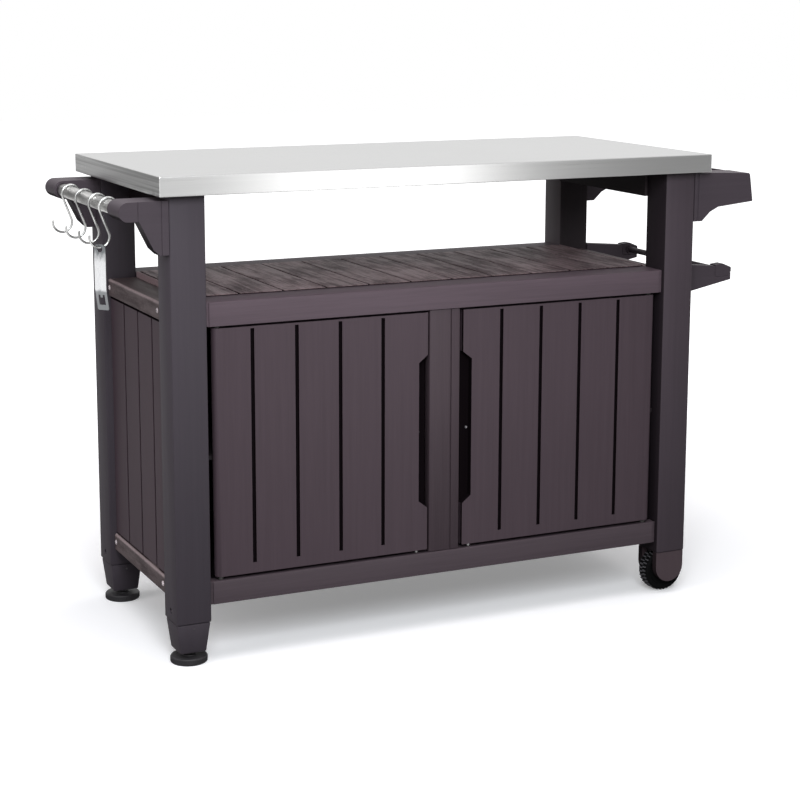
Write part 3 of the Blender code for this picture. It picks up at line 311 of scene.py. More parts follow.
def brushed_steel():
    """Brushed lines, counted across and along the brushing, with dark bands on the folded ends."""
    finish = Finish("brushed_steel_sheet", Metallic=1.0)
    at_ends = finish.between(finish.maths("ABSOLUTE", finish.facing("X")), 0.5, 0.9)
    x, y, z = (finish.coordinate(axis) for axis in "XYZ")
    lines = {}
    for name, (count, along) in LINES_PER_METRE.items():
        sideways = y * (count + at_ends * (along - count))
        spot = finish.node("ShaderNodeCombineXYZ", {0: x * along, 1: sideways, 2: z * count})
        lines[name] = finish.node("ShaderNodeTexNoise", {"Vector": spot, "Scale": 1.0, "Detail": 2.0})
    clouds = finish.noise((2.5, 2.5, 2.5), detail=2.0)
    streaks = lines["fine"] * 0.6 + lines["broad"] * 0.4
    finish.bump(streaks, 0.00004, 0.5)
    tone = finish.blend(streaks * 0.7 + clouds * 0.3, times(STEEL, 0.86), times(STEEL, 1.10))
    bands = finish.between(lines["broad"], 0.42, 0.66) * at_ends
    colour = finish.blend(bands, tone, times(STEEL, 0.66))
    return finish.output(Base_Color=colour, Roughness=0.22 + streaks * 0.16)


sheet_finish = brushed_steel()
print(sheet_finish.name, len(sheet_finish.node_tree.nodes), "nodes")

# %% Bar, hook and pin steel
def drawn_steel(name, colour, rough, along):
    """Drawn or rolled steel, with faint marks that run along the piece and darker streaks, both handling
    stains and painted reflections.
    """
    finish = Finish(name, Metallic=1.0)
    marks = finish.streaks(along, 30.0, 700.0)
    # dark streaks along the piece: handling stains and painted reflections
    stain_and_reflection_streaks = finish.streaks(along, 12.0, 90.0, shift=5.0)
    clear_of_streaks = finish.between(stain_and_reflection_streaks, 0.35, 0.70)
    finish.bump(marks, 0.00003, 0.5)
    return finish.output(
        Base_Color=finish.blend(clear_of_streaks, times(colour, 0.45), times(colour, 1.08)),
        Roughness=rough + marks * 0.12 + (1 - clear_of_streaks) * 0.10,
    )


bar_finish = drawn_steel("drawn_steel_bar", (0.64, 0.63, 0.62, 1.0), 0.20, "Y")
wire_finish = drawn_steel("bright_steel_wire", (0.86, 0.86, 0.85, 1.0), 0.16, "Z")
dull_finish = drawn_steel("dull_rivet", (0.16, 0.15, 0.16, 1.0), 0.40, "X")
# the pins and axles are nearly black
pin_finish = drawn_steel("burnished_pin", (0.09, 0.085, 0.085, 1.0), 0.42, "Z")
print([made.name for made in (bar_finish, wire_finish, dull_finish, pin_finish)])


# %% Opener steel
def pressed_steel():
    """The opener's strip: bright in the middle, dull and dark round its hole, and below its bend dull and
    dark as a painted reflection.
    """
    finish = Finish("pressed_steel_strip", Metallic=1.0)
    low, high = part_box("bottle_opener")
    share = (finish.coordinate("Z") - low.z) * (1 / (high.z - low.z))
    marks = finish.noise((220.0, 220.0, 90.0), detail=4.0, roughness=0.7)
    # painted reflection: the strip is dark below its bend
    below = 1 - finish.between(share + marks * 0.06, 0.30, 0.36)
    above = finish.between(share + marks * 0.30, 0.86, 1.06)
    finish.bump(marks, 0.0001, 0.5)
    dull = finish.maths("MAXIMUM", below * 0.8, above)
    bright = finish.blend(marks, (0.62, 0.63, 0.65, 1.0), (0.92, 0.92, 0.93, 1.0))
    return finish.output(
        Base_Color=finish.blend(dull, bright, (0.20, 0.21, 0.22, 1.0)),
        Roughness=0.20 + dull * 0.15 + marks * 0.1,
    )


flat_finish = pressed_steel()
print(flat_finish.name, len(flat_finish.node_tree.nodes), "nodes")

# %% [markdown]
# ## Moulded resin
# Legs, rails, doors and brackets are one brown resin. The mould gives all of it a fine stipple, and the
# planks a shallow wood grain too, which runs along the plank. No light gets into a groove or a finger grip,
# and little reaches the sides of a leg or a bracket that look away from the lamps, so those are mixed darker.
# The deck's grain is the deepest, and broad patches of it are lighter, wear and painted sheen together.

# %% Resin with a wood grain
def resin(name, along, colour, grain, rough=0.50, shade=None, shade_places=None):
    """Stippled resin with a wood grain along one axis, with painted shade on one side and in the places it is
    given.
    """
    finish = Finish(name, Specular_IOR_Level=0.20)
    figure = finish.streaks(along, 3.0, 130.0, detail=4.0, roughness=0.6)
    fibres = finish.streaks(along, 14.0, 620.0, detail=2.0, roughness=0.6, shift=3.0)
    stipple = finish.noise((1500.0, 1500.0, 1500.0), detail=1.0)
    clouds = finish.noise((3.0, 3.0, 3.0), detail=2.0, shift=7.0)
    wood = figure * 0.6 + fibres * 0.4
    finish.bump(wood * (0.7 * grain) + stipple * 0.3, 0.00016, 0.55)
    tint = finish.between(wood * 0.75 + clouds * 0.25, 0.30, 0.70)
    tone = finish.blend(tint, times(colour, 1 - 0.20 * grain), times(colour, 1 + 0.16 * grain))
    masks = shade_places(finish) if shade_places else []
    if shade:
        axis, sign, amount = shade
        # painted shade on the side that looks along this axis
        masks.append(finish.looking(axis, sign) * amount)
    if masks:
        dark = masks[0]
        for mask in masks[1:]:
            dark = finish.maths("MAXIMUM", dark, mask)
        finish.paint_shade(dark, times(colour, 0.10))
    return finish.output(Base_Color=tone, Roughness=rough + wood * 0.10 + stipple * 0.08)


# %% Resin of legs, rails and brackets
# the grain's axis, the colour in a picture, depth of grain, roughness, and the side with painted shade and
# its darkness
RESINS = {
    "upright": ("Z", (63, 57, 64), 0.35, 0.50, None),
    "planks": ("Z", (64, 53, 59), 0.7, 0.50, None),
    "fascia": ("X", (83, 70, 78), 0.8, 0.50, None),
    "long_rail": ("X", (69, 59, 65), 0.8, 0.50, None),
    # the inside of the cabinet: a darker copy of the resin, painted shade
    "inside": ("X", (36, 31, 34), 0.8, 0.50, None),
    "fork": ("Z", (74, 62, 67), 0.35, 0.50, ("X", -1, 0.75)),
    "right_front": ("Z", (66, 57, 64), 0.45, 0.50, ("X", -1, 0.75)),
    # a lighter copy of the resin, painted light on the leg's inner side, with painted shade on its front
    "right_back": ("Z", (80, 72, 77), 0.45, 0.50, ("Y", -1, 0.62)),
    # a darker copy of the resin, painted shade under the worktop, darker still on sides that look along -X
    "apron": ("Y", (52, 44, 48), 0.8, 0.50, ("X", -1, 0.70)),
    "bracket": ("X", (68, 60, 67), 0.4, 0.44, ("Z", -1, 0.85)),
}
resins = {}
for name, (along, picture_colour, *look) in RESINS.items():
    resins[name] = resin(f"brown_resin_{name}", along, from_picture(*picture_colour), *look)
print([made.name for made in resins.values()])

# %% Resin of doors and panels
PLANK = from_picture(70, 58, 65)
DOOR_GROOVE_FLOOR = 0.0060
DOOR_ROUNDING = 0.012
GRIP_FLOOR = 0.0150
GRIP_REACH = 0.0570
GRIP_SPAN = (0.2425, 0.5410)
GRIP_FADE = 0.0005
PANEL_GROOVE_FLOOR = 0.0045
PANEL_SHADE_BELOW_RAIL = 0.0062
PANEL_SHADE_FADE = 0.0008


def door_dark(finish):
    """Painted shade goes here: the grooves between a door's planks, and the pockets of both finger grips."""
    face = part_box("door_left")[0].y
    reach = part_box("door_right")[1].x - middle_x - DOOR_ROUNDING
    grooves = finish.sunk("Y", face, -1, DOOR_GROOVE_FLOOR, middle_x, reach)
    bottom, top = GRIP_SPAN
    level = finish.coordinate("Z")
    above = finish.between(level, bottom, bottom + GRIP_FADE)
    below = 1 - finish.between(level, top, top + GRIP_FADE)
    pockets = finish.sunk("Y", face, -1, GRIP_FLOOR, middle_x, GRIP_REACH) * (above * below)
    return [grooves, pockets]


def side_dark(side, outward):
    """Painted shade goes here: the grooves of a side panel, and a painted shadow line under the rail above
    it.
    """
    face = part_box(f"side_panel_{side}")[1 if outward > 0 else 0].x
    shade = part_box("upper_rail_left")[0].z - PANEL_SHADE_BELOW_RAIL

    def masks(finish):
        under_rail = finish.between(finish.coordinate("Z"), shade, shade + PANEL_SHADE_FADE)
        return [finish.sunk("X", face, outward, PANEL_GROOVE_FLOOR), under_rail]

    return masks


def back_dark(finish):
    """Painted shade goes here: the grooves of the back panels."""
    return [finish.sunk("Y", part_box("back_panel_left")[1].y, 1, PANEL_GROOVE_FLOOR)]


GROOVED = {
    "doors": door_dark,
    "left_panel": side_dark("left", -1),
    "right_panel": side_dark("right", 1),
    "back_panels": back_dark,
}
for name, shade_places in GROOVED.items():
    resins[name] = resin(f"brown_resin_{name}", "Z", PLANK, 0.6, shade_places=shade_places)
print("grooved", [resins[name].name for name in GROOVED])

# %% Resin of the side rails
SIDE_DARK = from_picture(60, 50, 52)
SIDE_LIGHT = from_picture(158, 142, 144)


def side_rail_resin(node, painted_top_light):
    """Mottled resin, with a pale band of wear and painted highlight along the rail's upper outer edge, and a
    top made paler by painted light, more so towards the front.
    """
    finish = Finish(f"worn_resin_{node}", Specular_IOR_Level=0.18)
    low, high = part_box(node)
    outer = low.x if low.x < middle_x else high.x
    figure = finish.streaks("Y", 8.0, 70.0, detail=4.0, roughness=0.62)
    patches = finish.between(finish.streaks("Y", 9.0, 16.0, shift=4.0), 0.38, 0.66)
    fine = finish.streaks("Y", 90.0, 520.0, detail=2.0)
    aside = finish.distance("X", outer)
    # painted highlight and wear: a pale band along the upper outer edge
    rising = finish.between(finish.coordinate("Z"), high.z - 0.0065, high.z - 0.0015)
    edge = (1 - finish.between(aside, 0.0022, 0.0050)) * rising
    # painted light: the top face is paler, and paler still towards the front
    lit_top = finish.looking("Z", 1) * finish.between(aside, 0.0016, 0.0042)
    light_towards_front = 1 - finish.between(finish.coordinate("Y"), low.y, high.y)
    grain = finish.between(figure * 0.7 + fine * 0.3, 0.36, 0.64)
    finish.bump(grain * 0.6 + fine * 0.4, 0.0004, 0.7)
    face = (grain * 0.16 + patches * 0.16) * (1 - lit_top)
    top = lit_top * (painted_top_light + light_towards_front * light_towards_front * patches * 0.9)
    tone = face + top + edge * (0.35 + fine * 0.60)
    return finish.output(
        Base_Color=finish.blend(tone, SIDE_DARK, SIDE_LIGHT),
        Roughness=0.60 - grain * 0.10 + fine * 0.08,
    )


ENDS = ("front", "back")
SIDES = ("left", "right")
# how much painted light each rail's top gets
for level, painted_top_light in (("upper", 0.10), ("lower", 0.0)):
    for side in SIDES:
        node = f"{level}_rail_{side}"
        resins[node] = side_rail_resin(node, painted_top_light)
print(len(resins), "resins so far, the last one", resins[node].name)

# %% Resin of the deck
DECK_DARK = from_picture(58, 45, 49)
DECK_LIGHT = from_picture(150, 130, 134)
DECK_RIM = 0.0042
DECK_PLANKS = 11
DECK_GROOVE_FLOOR = 0.0045


def deck_resin():
    """Deep wood grain along the planks, different on each plank, lighter in broad patches of wear and painted
    sheen.
    """
    finish = Finish("brown_resin_deck", Specular_IOR_Level=0.12)
    low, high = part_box("deck")
    pitch = (high.x - low.x) / DECK_PLANKS
    plank = finish.maths("FLOOR", (finish.coordinate("X") - low.x) * (1 / pitch))
    own = finish.node("ShaderNodeTexWhiteNoise", {"W": plank}, noise_dimensions="1D")
    own_place = finish.node("ShaderNodeCombineXYZ", {0: plank * 3.7, 1: own * 9.0, 2: 0.0})
    spots = {}
    for name, stretch, detail in (("figure", (95.0, 7.0, 95.0), 5.0), ("knots", (26.0, 12.0, 26.0), 3.0)):
        where = finish.node("ShaderNodeVectorMath", {0: finish.place(stretch), 1: own_place}, operation="ADD")
        spots[name] = finish.node(
            "ShaderNodeTexNoise",
            {"Vector": where, "Scale": 1.0, "Detail": detail, "Roughness": 0.62, "Distortion": 0.6},
        )
    grain = finish.between(spots["figure"] * 0.65 + spots["knots"] * 0.35, 0.40, 0.60)
    fine = finish.streaks("Y", 90.0, 420.0, detail=2.0)
    # wear and painted sheen: broad lighter patches along the planks
    wear_and_sheen = finish.between(finish.streaks("Y", 5.0, 7.0, detail=2.0, shift=2.0), 0.42, 0.68)
    finish.bump(grain * 0.75 + fine * 0.25, 0.0006, 0.8)
    tone = grain * 0.42 + own * 0.15 + finish.between(fine, 0.36, 0.64) * 0.22 + wear_and_sheen * 0.36 - 0.04
    centre, reach = (low.x + high.x) / 2, (high.x - low.x) / 2 - DECK_RIM
    rim = finish.between(finish.distance("X", centre), reach, reach + 0.0005) * (0.45 + fine * 0.5)
    # painted shade in the grooves between the planks
    grooves = finish.sunk("Z", high.z, 1, DECK_GROOVE_FLOOR, centre, reach)
    finish.paint_shade(grooves, times(DECK_DARK, 0.12))
    return finish.output(
        Base_Color=finish.blend(finish.maths("MAXIMUM", tone, rim), DECK_DARK, DECK_LIGHT),
        Roughness=0.62 - grain * 0.16 + fine * 0.08,
    )


resins["deck"] = deck_resin()
print(resins["deck"].name, len(resins["deck"].node_tree.nodes), "nodes")

# %% Black plastic, tread and board
def moulded_plastic(name, colour, rough, shine=0.4):
    """Plain stippled plastic with a little dust."""
    finish = Finish(name, Specular_IOR_Level=shine)
    grain = finish.noise((900.0, 900.0, 900.0), detail=2.0)
    dust = finish.between(finish.noise((25.0, 25.0, 25.0), detail=4.0), 0.45, 0.75)
    finish.bump(grain, 0.00012, 0.6)
    return finish.output(
        Base_Color=finish.blend(dust, colour, times(colour, 1.9)),
        Roughness=rough + grain * 0.12 + dust * 0.08,
    )


def chip_board():
    """Pressed chips of wood, for the board under the steel."""
    finish = Finish("pressed_board")
    chips = finish.noise((180.0, 180.0, 180.0), detail=4.0)
    finish.bump(chips, 0.0002, 0.5)
    return finish.output(
        Base_Color=finish.blend(chips, from_picture(132, 112, 86), from_picture(196, 176, 146)),
        Roughness=0.8 + chips * 0.1,
    )


foot_finish = moulded_plastic("black_foot_plastic", from_picture(40, 38, 41), 0.46)
tread_finish = moulded_plastic("black_wheel_barrel", from_picture(10, 10, 11), 0.70, shine=0.06)
# the ribs are a paler grey than the black barrel
rib_finish = moulded_plastic("worn_wheel_ribs", from_picture(74, 73, 76), 0.60, shine=0.2)
cap_finish = moulded_plastic("pale_screw_cap", from_picture(196, 186, 190), 0.40)
board_finish = chip_board()
print([made.name for made in (foot_finish, tread_finish, rib_finish, cap_finish, board_finish)])

# %% [markdown]
# ## Soft edges
# No moulded or folded piece has a knife edge: the line of light along a rounded edge is what makes it look
# real. The CAD solids are kept sharp where roundings would only cost faces, so here each one is copied,
# merged into whole faces and given a small bevel. The bevel shades the flats flat and only the edge round.

# %% Copy a CAD node with rounded edges
WELD = 1e-6
FLAT_WITHIN = math.radians(0.5)
EDGE_ABOVE = math.radians(32)


def whole_faces(node):
    """The node's triangles merged, and flat neighbours joined into whole faces."""
    source = cad_nodes[node].data
    mesh = bpy.data.meshes.new(node)
    corners = [vertex.co for vertex in source.vertices]
    mesh.from_pydata(corners, [], [face.vertices[:] for face in source.polygons])
    shape = bmesh.new()
    shape.from_mesh(mesh)
    bmesh.ops.remove_doubles(shape, verts=shape.verts, dist=WELD)
    bmesh.ops.dissolve_limit(
        shape,
        angle_limit=FLAT_WITHIN,
        verts=shape.verts[:],
        edges=shape.edges[:],
        use_dissolve_boundaries=False,
    )
    shape.to_mesh(mesh)
    shape.free()
    return mesh


def settled(obj):
    """The object with its modifiers worked into its mesh."""
    bpy.context.view_layer.update()
    graph = bpy.context.evaluated_depsgraph_get()
    solved = obj.evaluated_get(graph)
    mesh = bpy.data.meshes.new_from_object(solved, preserve_all_data_layers=True, depsgraph=graph)
    obj.modifiers.clear()
    obj.data = mesh
    return obj


def show(name, mesh, body):
    """Puts a finished mesh into the scene, riding on its body."""
    obj = linked(name, mesh)
    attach(obj, body)
    return obj


def dress(node, mesh):
    """Shows a finished mesh in the place of a CAD node."""
    obj = show(f"{node}_dressed", mesh, body_of_node[node])
    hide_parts(node)
    return obj


def rounded(node, finish, width):
    """The CAD node with its edges rounded, in its place."""
    obj = dress(node, whole_faces(node))
    obj.data.materials.append(finish)
    bevel = obj.modifiers.new("rounding", "BEVEL")
    bevel.width = width
    bevel.segments = 2
    bevel.limit_method = "ANGLE"
    bevel.angle_limit = EDGE_ABOVE
    bevel.use_clamp_overlap = True
    bevel.harden_normals = True
    obj.data.shade_smooth()
    return settled(obj)


# %% Round the moulded pieces
# resin, slot and width of the rounding
MOULDED = {}
for end in ENDS:
    MOULDED[f"leg_{end}_left"] = ("upright", "frame_brown", 0.0012)
    MOULDED[f"leg_{end}_right"] = (f"right_{end}", "frame_brown", 0.0012)
    MOULDED[f"foot_socket_{end}"] = ("upright", "frame_brown", 0.0006)
    MOULDED[f"wheel_fork_{end}"] = ("fork", "frame_brown", 0.0004)
    MOULDED[f"upper_rail_{end}"] = ("fascia", "plank_brown", 0.0012)
    MOULDED[f"lower_rail_{end}"] = ("long_rail", "plank_brown", 0.0012)
    MOULDED[f"handle_bracket_{end}"] = ("bracket", "frame_brown", 0.0016)
    MOULDED[f"rack_bracket_{end}"] = ("bracket", "frame_brown", 0.0016)
    MOULDED[f"roll_arm_{end}"] = ("bracket", "frame_brown", 0.0014)
for side in SIDES:
    for node in (f"upper_rail_{side}", f"lower_rail_{side}"):
        MOULDED[node] = (node, "plank_brown", 0.0014)
    MOULDED[f"side_panel_{side}"] = (f"{side}_panel", "plank_brown", 0.0009)
    MOULDED[f"back_panel_{side}"] = ("back_panels", "plank_brown", 0.0009)
    MOULDED[f"door_{side}"] = ("doors", "plank_brown", 0.0010)
    MOULDED[f"top_apron_{side}"] = ("apron", "frame_brown", 0.0010)
MOULDED["centre_stile"] = ("planks", "plank_brown", 0.0008)
MOULDED["back_stile"] = ("planks", "plank_brown", 0.0008)
MOULDED["deck"] = ("deck", "deck_brown", 0.0010)
MOULDED["rack_tray"] = ("bracket", "frame_brown", 0.0007)
MOULDED["roll_rod"] = ("bracket", "frame_brown", 0.0008)
for node, (name, slot, width) in MOULDED.items():
    rounded(node, resins[name], width)
print(f"{len(MOULDED)} moulded pieces have rounded edges")

# %% Close the joints beside the back stile
JOINT_OVERLAP = 0.0003
stile_low, stile_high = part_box("back_stile")
joint = stile_low.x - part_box("back_panel_left")[1].x
for corner in bpy.data.objects["back_stile_dressed"].data.vertices:
    outward = 1 if corner.co.x > (stile_low.x + stile_high.x) / 2 else -1
    corner.co.x += outward * (joint + JOINT_OVERLAP)
print(f"no light comes through the {joint * 1000:.2f} mm joints beside the back stile")

# %% Finishes of the pieces that keep their CAD shape
KEPT = {
    "worktop_sheet": sheet_finish,
    "worktop_core": board_finish,
    "cabinet_floor": resins["inside"],
    "inner_shelf": resins["inside"],
}
for end in ENDS:
    KEPT[f"wheel_axle_{end}"] = pin_finish
for side in SIDES:
    KEPT[f"door_catch_{side}"] = wire_finish
    for level in ("top", "bottom"):
        KEPT[f"hinge_pin_{side}_{level}"] = pin_finish
for node, finish in KEPT.items():
    for material_slot in cad_nodes[node].material_slots:
        material_slot.material = finish
print(f"{len(KEPT)} pieces keep their CAD shape")

# %% [markdown]
# ## Turned pieces
# A wheel and a screw foot are half sections turned round an axis. Turning them in code, with the section
# written as points, gives a smooth mesh and leaves every size open to change.


# %% Turn a section round an axis
SHARP_ABOVE = math.radians(38)


def turned(profile, centre, axis, steps=72):
    """A solid from (radius, along) points, open or with both ends on the axis, turned round Z or Y."""
    shape = bmesh.new()
    points = [shape.verts.new((radius, 0.0, along)) for radius, along in profile]
    closed = all(radius > 0 for radius, _ in profile)
    pairs = list(zip(points, points[1:])) + ([(points[-1], points[0])] if closed else [])
    section = points + [shape.edges.new(pair) for pair in pairs]
    bmesh.ops.spin(
        shape,
        geom=section,
        cent=(0, 0, 0),
        axis=(0, 0, 1),
        angle=2 * math.pi,
        steps=steps,
        use_merge=True,
    )
    bmesh.ops.remove_doubles(shape, verts=shape.verts, dist=WELD)
    bmesh.ops.recalc_face_normals(shape, faces=shape.faces)
    turn = Matrix.Rotation(math.pi / 2, 4, "X") if axis == "Y" else Matrix()
    bmesh.ops.transform(shape, matrix=Matrix.Translation(centre) @ turn, verts=shape.verts)
    mesh = bpy.data.meshes.new("turned")
    shape.to_mesh(mesh)
    shape.free()
    mesh.shade_smooth()
    mesh.set_sharp_from_angle(angle=SHARP_ABOVE)
    return mesh


def bent(centre, radius, start, end, steps=6):
    """Points of a rounding in a section, by its centre, radius and two angles in degrees."""
    turns = [math.radians(start + (end - start) * step / steps) for step in range(steps + 1)]
    return [(centre[0] + radius * math.cos(turn), centre[1] + radius * math.sin(turn)) for turn in turns]


# %% [markdown]
# ## Geometry Nodes for what repeats
# Ribs round a tread, screws in a frame and wires along a path are the same thing over and over. A Geometry
# Nodes tree states the rule once: the ribs tree stands a bar on every point of a circle, the screws tree
# stands a head on every marked point, and the wire tree draws a round section along a path. Each tree has
# named inputs, and each result is made a plain mesh before it goes on.


# %% Build a tree and run it
class Rule(Graph):
    """A Geometry Nodes tree with named inputs, being built."""

    def __init__(self, name, **inputs):
        super().__init__(bpy.data.node_groups.new(name, "GeometryNodeTree"))
        sockets = self.tree.interface
        sockets.new_socket("Geometry", in_out="INPUT", socket_type="NodeSocketGeometry")
        sockets.new_socket("Geometry", in_out="OUTPUT", socket_type="NodeSocketGeometry")
        self.identifiers = {}
        for label, kind in inputs.items():
            made = sockets.new_socket(label, in_out="INPUT", socket_type=f"NodeSocket{kind}")
            self.identifiers[label] = made.identifier
        self.given = self.tree.nodes.new("NodeGroupInput")
        self.result = self.tree.nodes.new("NodeGroupOutput")

    def value(self, label):
        """One of the tree's own inputs."""
        return Signal(self, self.given.outputs[label])

    def painted(self, geometry, label):
        """The geometry in the material of one of the tree's inputs."""
        return self.node("GeometryNodeSetMaterial", {"Geometry": geometry, "Material": self.value(label)})

    def real(self, geometry):
        """Copies made into faces of their own."""
        return self.node("GeometryNodeRealizeInstances", {"Geometry": geometry})

    def ends_in(self, geometry):
        self.feed(self.result.inputs[0], geometry)
        return self

    def run(self, mesh, **values):
        """The mesh that the tree makes of a start mesh and its inputs."""
        obj = linked("rule", mesh)
        step = obj.modifiers.new("rule", "NODES")
        step.node_group = self.tree
        for label, value in values.items():
            step[self.identifiers[label]] = value
        settled(obj)
        made = obj.data
        bpy.data.objects.remove(obj, do_unlink=True)
        return made


# %% Rule for ribs round a circle
def ribs_rule():
    """Bars of one size that stand on a circle round Z, each facing outwards."""
    rule = Rule("ribs_round_a_circle", Count="Int", Radius="Float", Bar="Vector", Finish="Material")
    size = {"Vertices": rule.value("Count"), "Radius": rule.value("Radius")}
    circle = rule.node("GeometryNodeMeshCircle", size)
    where = rule.node("GeometryNodeInputPosition")
    turn = rule.node("FunctionNodeAlignRotationToVector", {"Vector": where}, axis="X", pivot_axis="Z")
    bar = rule.node("GeometryNodeMeshCube", {"Size": rule.value("Bar")})
    stood = {"Points": circle, "Instance": bar, "Rotation": turn}
    ribs = rule.real(rule.node("GeometryNodeInstanceOnPoints", stood))
    return rule.ends_in(rule.painted(ribs, "Finish"))


ribs = ribs_rule()
print(ribs.tree.name, len(ribs.tree.nodes), "nodes")


# %% Rule for screws
SCREW_SIDES = 24
HEAD_TAPER = 0.68


def screws_rule():
    """A washer, a domed head and a dark socket in it, on every marked point."""
    rule = Rule("screws_on_marks", Radius="Float", Height="Float", Finish="Material", Dark="Material")
    radius = rule.value("Radius")
    height = rule.value("Height")

    def placed(solid, lift, finish):
        up = rule.node("ShaderNodeCombineXYZ", {2: height * lift})
        raised = rule.node("GeometryNodeTransform", {"Geometry": solid, "Translation": up})
        return rule.painted(raised, finish)

    def disc(share, tall, lift, finish):
        size = {"Vertices": SCREW_SIDES, "Radius": radius * share, "Depth": height * tall}
        return placed(rule.node("GeometryNodeMeshCylinder", size), lift + tall / 2, finish)

    def dome(share, tall, lift, finish):
        wide = radius * share
        size = {"Radius Top": wide * HEAD_TAPER, "Radius Bottom": wide, "Depth": height * tall}
        return placed(rule.node("GeometryNodeMeshCone", {"Vertices": SCREW_SIDES, **size}), lift, finish)

    washer = disc(1.0, 0.30, 0.0, "Finish")
    head = dome(0.80, 0.62, 0.30, "Finish")
    socket = disc(0.34, 0.10, 0.88, "Dark")
    screw = rule.node("GeometryNodeJoinGeometry", {0: washer})
    for piece in (head, socket):
        rule.feed(screw.socket.node.inputs[0], piece)
    facing = rule.node("GeometryNodeInputNamedAttribute", {"Name": "facing"}, data_type="FLOAT_VECTOR")
    turn = rule.node("FunctionNodeAlignRotationToVector", {"Vector": facing}, axis="Z")
    stood = {"Points": rule.value("Geometry"), "Instance": screw, "Rotation": turn}
    return rule.ends_in(rule.real(rule.node("GeometryNodeInstanceOnPoints", stood)))


screws = screws_rule()
print(screws.tree.name, len(screws.tree.nodes), "nodes")


# %% Rule for wire along a path
def wire_rule():
    """A round wire along a path, with its ends drawn in to a soft tip by the path's own thickness."""
    rule = Rule("wire_along_a_path", Radius="Float", Sides="Int", Finish="Material")
    path = rule.node("GeometryNodeMeshToCurve", {"Mesh": rule.value("Geometry")})
    size = {"Resolution": rule.value("Sides"), "Radius": rule.value("Radius")}
    section = rule.node("GeometryNodeCurvePrimitiveCircle", size)
    share = rule.node("GeometryNodeInputNamedAttribute", {"Name": "share"}, data_type="FLOAT")
    sweep = {"Curve": path, "Profile Curve": section, "Scale": share, "Fill Caps": True}
    wire = rule.node("GeometryNodeCurveToMesh", sweep)
    smooth = rule.node("GeometryNodeSetShadeSmooth", {"Geometry": wire, "Shade Smooth": True})
    return rule.ends_in(rule.painted(rule.real(smooth), "Finish"))


wires = wire_rule()
print(wires.tree.name, len(wires.tree.nodes), "nodes")


# %% A path for a wire
def path_mesh(points, radius, tip_steps=5):
    """A path as a mesh of edges, with points added at both ends that draw the wire in to a round tip."""
    points = [Vector(point) for point in points]
    shares = [1.0] * len(points)
    for last in (False, True):
        end, before = (points[-1], points[-2]) if last else (points[0], points[1])
        outward = (end - before).normalized()
        anchor = end.copy()
        for step in range(1, tip_steps + 1):
            turn = math.pi / 2 * step / (tip_steps + 0.4)
            tip = anchor + outward * radius * (math.sin(turn) - 1.0)
            place = len(points) if last else 0
            if step == 1:
                points[-1 if last else 0] = anchor - outward * radius
            points.insert(place, tip)
            shares.insert(place, math.cos(turn))
    mesh = bpy.data.meshes.new("path")
    mesh.from_pydata(points, [(index, index + 1) for index in range(len(points) - 1)], [])
    mesh.attributes.new("share", "FLOAT", "POINT").data.foreach_set("value", shares)
    return mesh


# %% [markdown]
# ## Wheels and screw feet
# The wheels are hard black plastic with a ribbed tread between two smooth shoulders. The feet are knobs: a
# round disc with a grip of fine ribs, a neck and the stem that goes up into the leg's socket. Body and ribs
# are one piece, because they are one moulding.


# %% Join meshes
def joined(name, meshes):
    """Several meshes as one."""
    shape = bmesh.new()
    materials = []
    for mesh in meshes:
        first = len(shape.faces)
        shape.from_mesh(mesh)
        shape.faces.ensure_lookup_table()
        for face in shape.faces[first:]:
            finish = mesh.materials[face.material_index] if mesh.materials else None
            if finish not in materials:
                materials.append(finish)
            face.material_index = materials.index(finish)
    mesh = bpy.data.meshes.new(name)
    shape.to_mesh(mesh)
    shape.free()
    for finish in materials:
        mesh.materials.append(finish)
    return mesh


# %% Ribs on a wheel or foot
def rib_ring(count, radius, bar, finish, place):
    """A ring of ribs, first made flat round Z and then put in its place."""
    start = bpy.data.meshes.new("none")
    mesh = ribs.run(start, Count=count, Radius=radius, Bar=bar, Finish=finish)
    mesh.transform(place)
    return mesh


# %% Wheels
WHEEL_BORE = 0.0043
HUB_RADIUS = 0.0125
HUB_ROUNDING = 0.0008
DISH_RADIUS = 0.031
RIM_RADIUS = 0.0345
DISH_DEPTH = 0.003
TREAD_HALF = 0.015
TREAD_ROUNDING = 0.003
TREAD_GROOVE = ((0.0, 0.0042), (0.0012, 0.0047))
BARREL_BELOW_RIBS = 0.0026
TREAD_RIBS = 34
TREAD_RIB = (0.0036, 0.0022, 0.0084)
TREAD_RIB_SUNK = 0.00185
TREAD_ROW = 0.0060


def wheel_section(radius, hub):
    """From the bore over hub, dished side and shoulder to the tread's groove, and back on the far side."""
    barrel = radius - BARREL_BELOW_RIBS
    side = (
        [(WHEEL_BORE, hub), (HUB_RADIUS, hub)]
        + bent((HUB_RADIUS, hub - HUB_ROUNDING), HUB_ROUNDING, 90, 0, 3)
        + [(HUB_RADIUS + HUB_ROUNDING, TREAD_HALF - DISH_DEPTH), (DISH_RADIUS, TREAD_HALF - DISH_DEPTH)]
        + [(RIM_RADIUS, TREAD_HALF)]
        + bent((barrel - TREAD_ROUNDING, TREAD_HALF - TREAD_ROUNDING), TREAD_ROUNDING, 90, 0, 5)
        + [(barrel - deep, TREAD_HALF - inward) for deep, inward in TREAD_GROOVE]
    )
    return side + [(r, -along) for r, along in reversed(side)]


